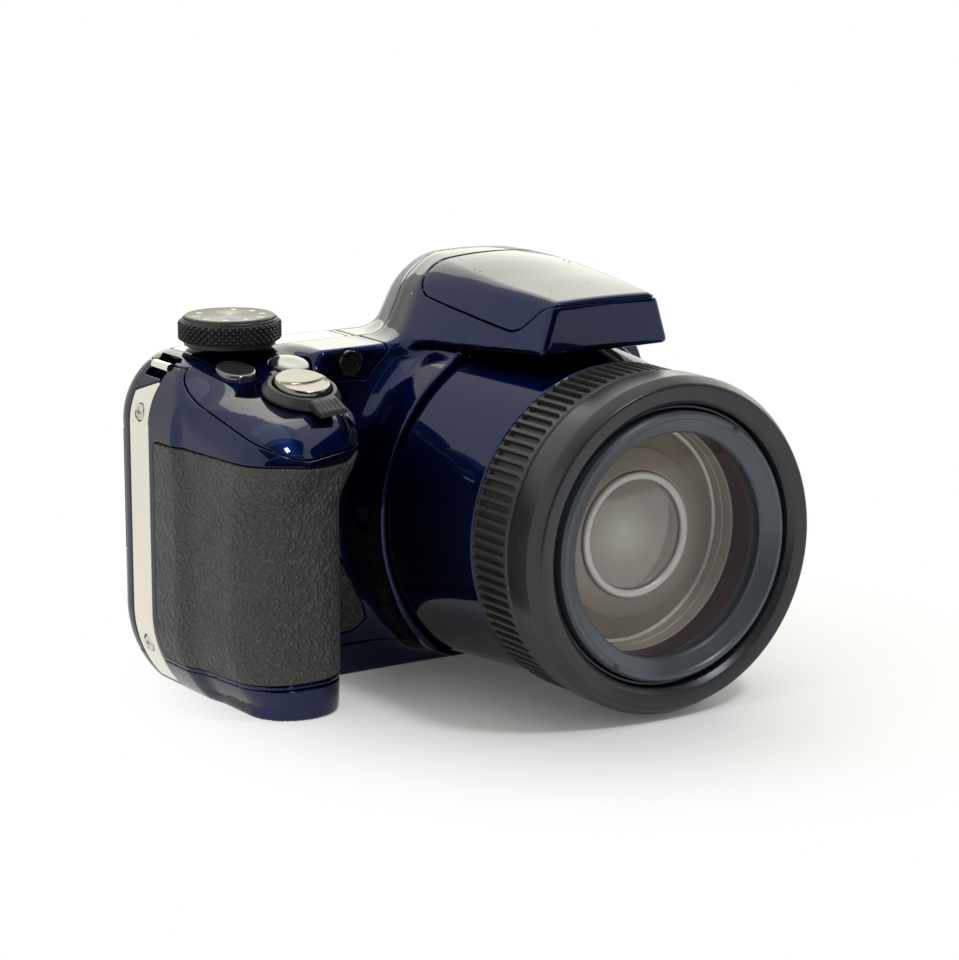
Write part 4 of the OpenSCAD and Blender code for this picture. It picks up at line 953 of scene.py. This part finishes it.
piece("rib_ring_detail", *ribbed_ring(), RIBS, "body", ("rib_ring",), "dark_satin", sharp=40)
bezel = [(30.1, 69.35), (35.3, 69.35), (36.0, 70.3), (36.0, 77.2), (34.4, 80.0), (31.3, 79.5), (30.1, 78.4)]
lens_ring("lens_bezel_ring", bezel, BEZEL, "body", "lens_bezel", "black_plastic",
          [0.1, 0.3, 0.5, 1.6, 0.9, 0.5, 0.4])
lens_ring("middle_barrel_tube", [(29.05, 43.0), (29.75, 43.0), (29.75, 77.0), (29.05, 77.0)], GLOSS_BLACK,
          "middle_barrel", "middle_barrel", "black_plastic", 0.2)
inner_tube = [(28.7, 49.3), (28.7, 78.6), (28.1, 79.3), (27.3, 79.3), (26.9, 78.9), (24.3, 77.4),
              (23.9, 76.9), (23.9, 76.3), (24.8, 76.3), (24.8, 71.3), (27.5, 70.3), (27.5, 49.3)]
lens_ring("inner_barrel_tube", inner_tube, RING_BLUE, "inner_barrel", "inner_barrel", "dark_satin", 0.2)
NOTCH_ANGLES, NOTCH_R = (57.0, 237.0), 27.7
notches = []
for degrees in NOTCH_ANGLES:
    a = math.radians(degrees)
    radial, across = (math.cos(a), 0, math.sin(a)), (-math.sin(a), 0, math.cos(a))
    middle = (NOTCH_R * math.cos(a), -78.6, LENS_Z + NOTCH_R * math.sin(a))
    spot = Place(middle, across, radial, (0, -1, 0))
    notches.append(slab_piece(rounded_box(0.9, 0.45, 0.35), 0.0, 0.72, spot, 0.05))
piece("inner_barrel_notches", *joined(*notches), GLOSS_BLACK, "inner_barrel", slot="black_plastic")


def dome(r, rim, sag, steps=16):
    """Points from a rim to the axis of a dome."""
    return [(r * k, rim + sag * (1 - k * k)) for k in np.linspace(1, 0, steps)]


def lens_shape(r, back, rim, sag, hollow, steps):
    """A glass with a domed front and a hollow back."""
    return turned(dome(r, rim, sag) + dome(r, back, hollow)[::-1], LENS, steps)


def second_glass_painted_highlight():
    """Dark coated glass of warm grey with a painted highlight, paler and greener about a point beside its
    middle.
    """
    made = Finish("second_glass", (0.26, 0.24, 0.20), 0.16, 0.0, Coat_Weight=1.0, Coat_Roughness=0.02)
    # The pale greenish patch about this point is a painted highlight, not a colour of the glass.
    highlight_distance = made.distance((-0.0035, -0.0651, 0.0385))
    uneven = made.combine("ADD", highlight_distance, made.span(made.noise(180.0), -0.0006, 0.0006))
    ring = made.span(uneven, 0.0, 1.0, (0.001, 0.0085))
    made.vary_colour(ring, (0.54, 0.55, 0.44), (0.35, 0.31, 0.27), (0.0, 1.0))
    return made.material


piece("front_glass", *lens_shape(24.7, 72.6, 76.0, 1.9, 1.9, 128), GLASS, "inner_barrel", ("front_lens",),
      "glass", sharp=40)
piece("second_glass", *lens_shape(13.5, 62.3, 63.9, 1.2, 0.3, 96), second_glass_painted_highlight(), "inner_barrel",
      ("second_lens",), "glass", sharp=40)
cell_steps = [(27.3, 59.6), (27.3, 70.0), (24.75, 70.0), (24.75, 66.5), (24.4, 66.4), (24.4, 63.6),
              (24.1, 63.4), (24.1, 60.9), (23.2, 60.6), (22.6, 61.1), (18.6, 63.0), (18.3, 63.4),
              (14.2, 64.8), (13.7, 64.6), (13.6, 64.3), (13.6, 59.6)]
cell_ring = [(11.95, 64.5), (11.95, 65.3), (12.3, 65.55), (13.2, 65.55), (13.55, 65.3), (13.55, 64.7)]
cell_line = [(23.45, 60.75), (23.45, 61.1), (24.05, 61.35), (24.05, 61.0)]
rim_coating = [(24.65, 66.6), (24.65, 72.4), (25.2, 72.4), (25.2, 66.6)]
lens_ring("lens_cell_steps", cell_steps, CELL_BROWN, "inner_barrel", "lens_cell", "black_plastic", 0.12, 160)
lens_ring("lens_cell_ring", cell_ring, CELL_GREY, "inner_barrel", None, "silver", 0.2, 160)
lens_ring("lens_cell_line", cell_line, CELL_GREY, "inner_barrel", None, "silver", 0.1, 160)
lens_ring("lens_rim_coating", rim_coating, MAROON, "inner_barrel", None, "glass", 0.1, 160)


# Deck controls

KNURLS, KNURL_ROWS = 44, 3.0
KNURL_SAMPLES, KNURL_RINGS = 10, 30
DRUM_R, KNURL_H = 10.5, 0.7


def triangle_wave(p):
    return np.abs((p % 1.0) - 0.5) * 2


def knurled_dial():
    """The dial's drum: a crossed knurl between its waist and its rim."""
    around = KNURLS * KNURL_SAMPLES
    angle = circle_angles(around)
    turn = np.arange(around) / KNURL_SAMPLES
    below = [(0.01, -4.6), (3.0, -4.6), (3.0, 0.6), (9.6, 0.6), (9.9, 0.8), (9.9, 1.5), (DRUM_R, 1.7)]
    above = [(DRUM_R, 6.1), (10.35, 6.5), (10.2, 6.6), (10.0, 6.5), (9.9, 6.05), (0.01, 6.05)]
    rows = [ring_row(r, h, angle) for r, h in below]
    for k in range(KNURL_RINGS + 1):
        t = k / KNURL_RINGS
        peak = np.minimum(triangle_wave(turn + t * KNURL_ROWS), triangle_wave(turn - t * KNURL_ROWS))
        fade = ease(t / 0.06) * ease((1 - t) / 0.06)
        rows.append(ring_row(DRUM_R + KNURL_H * np.minimum(peak * 1.5, 1.0) * fade, mix(1.8, 6.0, t), angle))
    rows += [ring_row(r, h, angle) for r, h in above]
    return lofted(rows, on_deck(DIAL_X, DIAL_Y))


piece("mode_dial_knurl", *knurled_dial(), BLACK, "mode_dial", ("mode_dial",), "black_plastic", sharp=50)


def spun_metal():
    made = Finish("spun_disc", (0.24, 0.23, 0.19), 0.34, 1.0, Anisotropic=0.8)
    tangent = made.add("ShaderNodeTangent", direction_type="RADIAL", axis="Z")
    made.link(tangent.outputs["Tangent"], made.shader.inputs["Tangent"])
    rings = made.add("ShaderNodeTexWave", wave_type="RINGS", rings_direction="Z", Scale=1400.0,
                     Distortion=1.0)
    made.link(made.coordinate.outputs["Object"], rings.inputs["Vector"])
    made.vary_colour(rings.outputs["Fac"], (0.09, 0.087, 0.070), (0.13, 0.125, 0.104), (0.0, 1.0))
    return made.material


SPUN = spun_metal()
disc_axis = (DIAL_X, DIAL_Y, DECK_Z)
disc = [(0.01, 6.1), (9.85, 6.1), (9.85, 6.8), (9.6, 7.1), (9.3, 7.1), (9.1, 6.98), (0.01, 6.95)]
piece("dial_disc_top", *turned(disc, on_deck(DIAL_X, DIAL_Y)), SPUN, "mode_dial", ("dial_disc",), "silver",
      origin=disc_axis)
marks_white, marks_red = [], []
DIAL_MARKS, MARK_R = 10, 7.2
for k in range(DIAL_MARKS):
    a = math.radians(18 + 360 * k / DIAL_MARKS)
    c, s = math.cos(a), math.sin(a)
    spot = Place((DIAL_X + MARK_R * c, DIAL_Y + MARK_R * s, DECK_Z + 6.93), (c, s, 0), (-s, c, 0), (0, 0, 1))
    half = (0.9, 0.45) if k % 3 else (0.65, 0.65)
    mark = slab_piece(rounded_box(*half, 0.3), 0.0, 0.06, spot, 0.02)
    (marks_red if k == 2 else marks_white).append(mark)
piece("dial_marks", *joined(*marks_white), WHITE_MARK, "mode_dial", slot="silver")
piece("dial_mark_red", *joined(*marks_red), RED_MARK, "mode_dial", slot="silver")

shutter_place = on_slope(SHUTTER_X, SHUTTER_Y)


CAP_R, CAP_TOP = 5.6, 3.62


def shutter_cap():
    """A bright cap whose front half is dished below a curved step."""
    rings = 26
    angle = circle_angles(96)
    wall = [(0.01, -3.4), (6.05, -3.4), (6.05, 3.1), (5.95, 3.42), (5.7, 3.6)]
    rows = [ring_row(r, h, angle) for r, h in wall]
    for k in range(1, rings + 1):
        r = CAP_R * (1 - k / rings) + 0.002
        x, y = r * np.cos(angle), r * np.sin(angle)
        step = ease((-y - 0.8 + 0.05 * x * x) / 0.5)
        h = CAP_TOP - 0.05 * (1 - (r / CAP_R) ** 2) - 0.34 * step * ease((CAP_R - r) / 0.5)
        rows.append(ring_row(r, h, angle))
    return lofted(rows, shutter_place)


piece("shutter_cap", *shutter_cap(), CAP_METAL, "shutter", ("shutter_button",), "chrome", sharp=50)


def height_patch(us, vs, top, low, place):
    """A block with a flat base whose upper face is a grid of heights."""
    u, v = np.meshgrid(us, vs, indexing="ij")
    h = top(u, v)
    upper = np.stack([u, v, h], -1).reshape(-1, 3)
    lower = np.stack([u, v, np.full_like(u, low)], -1).reshape(-1, 3)
    n = len(upper)
    grid = np.arange(n).reshape(u.shape)
    quads = np.stack([grid[:-1, :-1], grid[1:, :-1], grid[1:, 1:], grid[:-1, 1:]], -1).reshape(-1, 4)
    rim = np.concatenate([grid[:, 0], grid[-1, 1:], grid[-2::-1, -1], grid[0, -2:0:-1]])
    ahead = np.roll(rim, -1)
    walls = np.stack([ahead, rim, rim + n, ahead + n], 1)
    faces = quads.tolist() + walls.tolist() + [(rim[::-1] + n).tolist()]
    return place(np.concatenate([upper, lower])), faces


TAB_TURN = math.radians(8)
tab_out = np.array([math.sin(TAB_TURN), -math.cos(TAB_TURN), 0])
tab_side = np.array([math.cos(TAB_TURN), math.sin(TAB_TURN), 0])
slope_axes = shutter_place.axes
tab_place = Place(shutter_place.origin, tab_side @ slope_axes, -tab_out @ slope_axes, slope_axes[2])


TAB_HALF, RIB_PITCH = 3.45, 1.15


def tab_height(u, v):
    out = -v
    ribbed = ease((out - 7.6) / 0.6) * ease((11.3 - out) / 0.3)
    ribs = 0.22 * np.maximum(0, np.cos(u * 2 * math.pi / RIB_PITCH)) * ribbed
    fall = 2.55 - 1.15 * ease((out - 7.0) / 4.4)
    edge = 0.5 * ease((np.abs(u) - TAB_HALF + 0.4) / 0.4)
    return fall + ribs - edge - 0.6 * ease((out - 11.0) / 0.4)


lever_ring = [(6.45, -3.2), (7.25, -3.2), (7.25, 0.15), (8.4, 0.2), (8.35, 0.9), (7.35, 2.45), (6.7, 2.6),
              (6.45, 2.35)]
lever = turned(eased_corners(lever_ring, 0.2), shutter_place)
tab = height_patch(np.linspace(-TAB_HALF, TAB_HALF, 68), np.linspace(-11.38, -6.9, 16), tab_height, 0.35,
                   tab_place)
piece("zoom_lever_ring", *joined(lever, tab), SATIN, "zoom_lever", ("zoom_lever",), "dark_satin")

key = [(0.01, -2.3), (4.28, -2.3), (4.28, 0.2), (4.15, 0.45), (3.8, 0.58), (2.0, 0.5), (0.01, 0.46)]
for name, spot in KEYS.items():
    body = name.split("_")[0]
    piece(name + "_cap", *turned(key, on_slope(*spot), 64), KEY_GLOSS, body, (name,), "dark_satin", sharp=50)

lamp_place = Place((LAMP_X, FRONT_Y, LAMP_Z), (1, 0, 0), (0, 0, 1), (0, -1, 0))
lamp = [(0.01, -1.9), (2.85, -1.9), (2.85, 0.5), (2.65, 0.75), (2.4, 0.75), (2.25, 0.5), (2.2, 0.1),
        (1.75, 0.0), (1.7, 0.3), (1.45, 0.3), (1.4, -0.3), (0.95, -0.35), (0.01, -0.2)]
piece("focus_lamp_ring", *turned(lamp, lamp_place, 64), GLOSS_BLACK, "body", ("focus_lamp",), "black_plastic")

# Black discs stand in for the microphone holes: their darkness is painted shade of the holes' insides.
holes = []
for x in (-11.6, 11.6):
    for y in (-21.3, -23.3):
        spot = settled(body_field, np.array([[x, y, 89.0]]))[0]
        level = Place(spot, (1, 0, 0), (0, 1, 0), (0, 0, 1))
        holes.append(slab_piece(circle(0.42, 20), -0.3, 0.03, level, 0.02))
piece("microphone_hole_shade", *joined(*holes), GLOSS_BLACK, "flash", slot="black_plastic")

# Screws, lugs and notches on the sides


SCREW_R, CROSS_DEPTH = 1.8, 0.55


def cross_screw(place):
    """A pan head with a cross cut in it."""
    rings = 14
    angle = circle_angles(48)
    rows = [ring_row(SCREW_R, -1.0, angle)]
    for k in range(rings + 1):
        r = SCREW_R * (1 - k / rings) + 0.002
        arm = np.minimum(np.abs(r * np.cos(angle)), np.abs(r * np.sin(angle)))
        cut = CROSS_DEPTH * (1 - ease((arm - 0.16) / 0.12)) * (1 - ease((r - 1.05) / 0.2))
        rows.append(ring_row(r, 0.18 - 0.25 * (r / SCREW_R) ** 4 - cut, angle))
    return lofted(rows, place)


def flank_x(z):
    """Distance of the side's surface inside its widest place."""
    drop = max(0.0, LOW_Z - z, z - TOP_Z)
    r = LOW_R if z < LOW_Z else TOP_R
    return r - math.sqrt(r * r - drop * drop)


heads = []
for sign, edge_x in ((-1, SIDE_X), (1, PLAIN_X)):
    for height in STRIP_SCREWS:
        x = edge_x - sign * flank_x(height)
        heads.append(cross_screw(Place((x, STRIP_MID, height), (0, -sign, 0), (0, 0, 1), (sign, 0, 0))))
piece("side_screw_heads", *joined(*heads), SCREW, "body", ("side_screws",), "screw_steel", sharp=50)
heads = [cross_screw(Place((px, py, 0.3), (1, 0, 0), (0, -1, 0), (0, 0, -1))) for px, py in BASE_SCREWS]
piece("base_screw_heads", *joined(*heads), SCREW, "body", ("base_screws",), "screw_steel", sharp=50)

bars, pockets = [], []
POCKET_FACES = [[0, 1, 3, 2], [0, 4, 5, 1], [2, 3, 7, 6], [0, 2, 6, 4], [1, 5, 7, 3]]
LUG_IN = (math.cos(math.radians(38)), math.sin(math.radians(38)))
for sign, middle in zip((-1, 1), LUG_X):
    along = np.array([sign * LUG_IN[1], 0, -LUG_IN[0]])
    outward = np.array([sign * LUG_IN[0], 0, LUG_IN[1]])
    spot = np.array([middle, 0, LUG_Z])
    bar = Place(spot + outward * 0.4 + np.array([0, LUG_Y[0], 0]), outward, along, (0, 1, 0))
    length = LUG_Y[1] - LUG_Y[0]
    rod = [(0.01, 0.0), (1.15, 0.0), (1.15, length), (0.01, length)]
    bars.append(turned(eased_corners(rod, 0.05), bar, 32))
    plate = Place(spot - outward * 2.4, along, (0, 1, 0), outward)
    outline = eased_corners([(-2.7, LUG_Y[0] + 0.4), (2.7, LUG_Y[0] + 0.4), (2.7, LUG_Y[1] - 0.4),
                             (-2.7, LUG_Y[1] - 0.4)], 0.5)
    bars.append(slab_piece(outline, -0.6, 0.0, plate, 0.2))
    corners = [spot + along * p + outward * h + np.array([0, q, 0])
               for h in (-3.2, 0.4) for q in (LUG_Y[0] - 0.05, LUG_Y[1] + 0.05) for p in (-3.0, 3.0)]
    pockets.append((np.array(corners), POCKET_FACES))
piece("strap_lug_bars", *joined(*bars), CHROME, "body", ("strap_lugs",), "chrome")
piece("strap_lug_pockets", *joined(*pockets), PAINT, "body", slot="body_blue")

# Flash window, screen and rear keys

window = Place((0, -50.4, 81.2), (1, 0, 0), (0, 0, 1), (0, -1, 0))
ridge = np.linspace(-10.4, 10.4, 130)


def window_height(u, v):
    return -0.25 + 0.2 * np.abs(np.sin(u * 2.4))


ribs = height_patch(ridge, np.linspace(-2.95, 2.95, 6), window_height, -1.15, window)
piece("flash_window_ribs", *ribs, CLEAR, "flash", ("flash_window",), "clear_plastic", sharp=20)

screen_place = on_rear((SCREEN[0] + SCREEN[1]) / 2, (SCREEN[2] + SCREEN[3]) / 2)
half_w, half_h = (SCREEN[1] - SCREEN[0]) / 2, (SCREEN[3] - SCREEN[2]) / 2
outline = rounded_box(half_w, half_h, 2.0, 6)
piece("screen_window_glass", *slab_piece(outline, -1.95, -0.1, screen_place, 0.35), SCREEN_GLASS, "body",
      ("screen_window",), "screen_glass")

pad_place = on_rear(*PAD)
pad = [(3.9, -3.2), (9.75, -3.2), (9.75, -2.2), (9.0, -2.1), (9.0, 0.7), (8.6, 1.0), (6.4, 0.75), (4.2, 0.85),
       (3.9, 0.6)]
piece("direction_pad_ring", *turned(eased_corners(pad, 0.15), pad_place, 96), SATIN, "direction_pad",
      ("direction_pad",), "dark_satin")
ok_cap = [(0.01, -3.2), (3.58, -3.2), (3.58, 0.4), (3.35, 0.62), (2.0, 0.68), (0.01, 0.7)]
piece("ok_button_cap", *turned(ok_cap, pad_place, 64), KEY_GREY, "ok_button", ("ok_button",), "dark_satin",
      sharp=50)
arrows, arrow = [], eased_corners([(0.75, 0.0), (-0.5, 0.8), (-0.5, -0.8)], 0.1)
for k in range(4):
    a = math.pi / 2 * k
    c, s = math.cos(a), math.sin(a)
    across, up, out = pad_place.axes
    middle = pad_place([(6.4 * c, 6.4 * s, 0.74)])[0]
    spot = Place(middle, c * across + s * up, -s * across + c * up, out)
    arrows.append(slab_piece(arrow, 0.0, 0.06, spot, 0.02))
piece("direction_pad_arrows", *joined(*arrows), WHITE_MARK, "direction_pad", slot="silver")
rear_key = [(0.01, -3.3), (4.0, -3.3), (4.0, -2.15), (3.2, -2.1), (3.2, 0.6), (2.85, 0.95), (0.01, 1.0)]
for name, spot in REAR_KEYS.items():
    shape = turned(eased_corners(rear_key, 0.12), on_rear(*spot), 64)
    piece(name + "_cap", *shape, KEY_GREY, name, (name,), "dark_satin", sharp=50)

# Solids whose own shape is right keep it and get a finish

KEPT = {BLACK: ("battery", "card_socket", "memory_card", "flash_bracket", "door_latch", "ports",
                "screen_panel"),
        STEEL: ("chassis", "sensor_plate", "door_hinge_pin", "flash_hinge_pin", "zoom_motor",
                "fixed_barrel"),
        BRASS: ("cam_ring", "drive_gear", "tripod_socket"),
        CHROME: ("flash_reflector",),
        BOARD: ("main_board",),
        GLOSS_BLACK: ("flash_capacitor", "image_sensor"),
        CLEAR: ("flash_tube",),
        GLASS: ("rear_lens",)}
for finish, names in KEPT.items():
    for name in names:
        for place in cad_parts[name].material_slots:
            place.material = finish

# Studio

scene = bpy.context.scene
scene.view_settings.view_transform = "Standard"


def background_rays(tree):
    """1 for the rays that see the background: from the camera, in gloss and through glass."""
    path = tree.nodes.new("ShaderNodeLightPath")
    seen = path.outputs["Is Camera Ray"]
    for key in ("Is Glossy Ray", "Is Transmission Ray"):
        joint = tree.nodes.new("ShaderNodeMath")
        joint.operation = "MAXIMUM"
        tree.links.new(seen, joint.inputs[0])
        tree.links.new(path.outputs[key], joint.inputs[1])
        seen = joint.outputs[0]
    return seen


def studio_world(soft):
    world = bpy.data.worlds.new("studio")
    world.use_nodes = True
    tree = world.node_tree
    lit = tree.nodes["Background"]
    lit.inputs["Color"].default_value = (1, 1, 0.97, 1)
    strength = tree.nodes.new("ShaderNodeMapRange")
    strength.inputs["To Min"].default_value = soft
    strength.inputs["To Max"].default_value = 1.0
    tree.links.new(background_rays(tree), strength.inputs["Value"])
    tree.links.new(strength.outputs["Result"], lit.inputs["Strength"])
    scene.world = world


def stage_plane(name, corner, along, up, material, solid=True):
    """A rectangle of the studio; one that isn't solid is only seen in gloss and glass."""
    corner, along, up = Vector(corner), Vector(along), Vector(up)
    mesh = bpy.data.meshes.new(name)
    mesh.from_pydata([corner, corner + along, corner + along + up, corner + up], [], [[0, 1, 2, 3]])
    mesh.update()
    mesh.materials.append(material)
    made = bpy.data.objects.new(name, mesh)
    made.visible_camera = made.visible_diffuse = made.visible_shadow = solid
    scene.collection.objects.link(made)
    return made


def paper_floor(glow, centre, near, far):
    """White paper: lit around the object, plain white further away where only the background is seen."""
    made = Finish("paper_floor", (0.96, 0.96, 0.95), 0.9, 0.0, Specular_IOR_Level=0.0,
                  Emission_Color=(1, 1, 1, 1))
    made.vary_colour(made.noise(6.0), (0.95, 0.95, 0.94), (0.97, 0.97, 0.96))
    seen = background_rays(made.tree)
    made.link(made.combine("MULTIPLY", seen, glow), made.shader.inputs["Emission Strength"])
    fade = made.add("ShaderNodeMapRange", interpolation_type="SMOOTHSTEP", From_Min=near, From_Max=far)
    made.link(made.distance(centre), fade.inputs["Value"])
    white = made.add("ShaderNodeEmission", Color=(1, 1, 1, 1))
    joint = made.add("ShaderNodeMixShader")
    made.link(made.combine("MULTIPLY", seen, fade.outputs["Result"]), joint.inputs[0])
    made.link(made.shader.outputs[0], joint.inputs[1])
    made.link(white.outputs[0], joint.inputs[2])
    made.link(joint.outputs[0], made.tree.nodes["Material Output"].inputs["Surface"])
    return made.material


def card(name, level):
    """The finish of a panel of one grey."""
    made = Finish(name, shade((1, 1, 0.97), level), 0.9, 0.0, Specular_IOR_Level=0.0)
    made.vary_colour(made.noise(5.0), shade((1, 1, 0.97), level * 0.9), shade((1, 1, 0.97), level * 1.1))
    return made.material


def softbox(name, centre, target, size, radiance, tint=(1, 1, 1)):
    """A flat lamp of a given brightness that faces a point."""
    lamp = bpy.data.lights.new(name, "AREA")
    lamp.shape = "RECTANGLE"
    lamp.size, lamp.size_y = size
    lamp.energy = radiance * math.pi * size[0] * size[1]
    lamp.color = tint
    made = bpy.data.objects.new(name, lamp)
    made.location = centre
    made.rotation_euler = (Vector(target) - Vector(centre)).to_track_quat("-Z", "Y").to_euler()
    scene.collection.objects.link(made)
    return made


studio_world(0.5)
FLOOR_SIZE = 6.0
floor_finish = paper_floor(0.06, (0.015, -0.045, 0), 0.05, 0.115)
stage_plane("floor", (-FLOOR_SIZE / 2, -FLOOR_SIZE / 2, 0), (FLOOR_SIZE, 0, 0), (0, FLOOR_SIZE, 0),
            floor_finish)
DARK = 0.02
stage_plane("front_card", (-1.4, -1.0, 0), (2.6, 0, 0), (0, 0, 1.1), card("dark_card", DARK), False)
stage_plane("front_table", (-1.4, -1.0, 0.002), (1.45, 0, 0), (0, 0.7, 0), card("table_card", DARK), False)
stage_plane("front_ceiling", (-1.0, -1.0, 1.15), (2.2, 0, 0), (0, 0.8, 0), card("ceiling_card", DARK), False)
WARM = (1.0, 0.99, 0.86)
COOL = (0.94, 0.97, 1.0)
softbox("overhead", (0.0, 0.1, 1.1), (0.0, 0.05, 0.0), (1.0, 1.0), 0.5, WARM)
softbox("back_right", (0.92, 1.16, 0.88), (-0.02, 0.0, 0.06), (2.2, 1.3), 1.6, WARM)
softbox("key", (0.16, -0.62, 0.98), (-0.02, -0.03, 0.05), (0.16, 0.16), 43.0, COOL)

EYE = Vector((-0.38893, -0.59264, 0.19207))
RIGHT, UP, BACK = (0.8337, -0.5522, 0.0), (0.1180, 0.1782, 0.9769), (-0.5395, -0.8144, 0.2137)
view = bpy.data.cameras.new("photo_view")
view.sensor_width = 36.0
view.lens = 119.6
view.clip_start = 0.01
eye = bpy.data.objects.new("photo_view", view)
eye.matrix_world = Matrix([(RIGHT[i], UP[i], BACK[i], EYE[i]) for i in range(3)] + [(0, 0, 0, 1)])
scene.collection.objects.link(eye)
scene.camera = eye
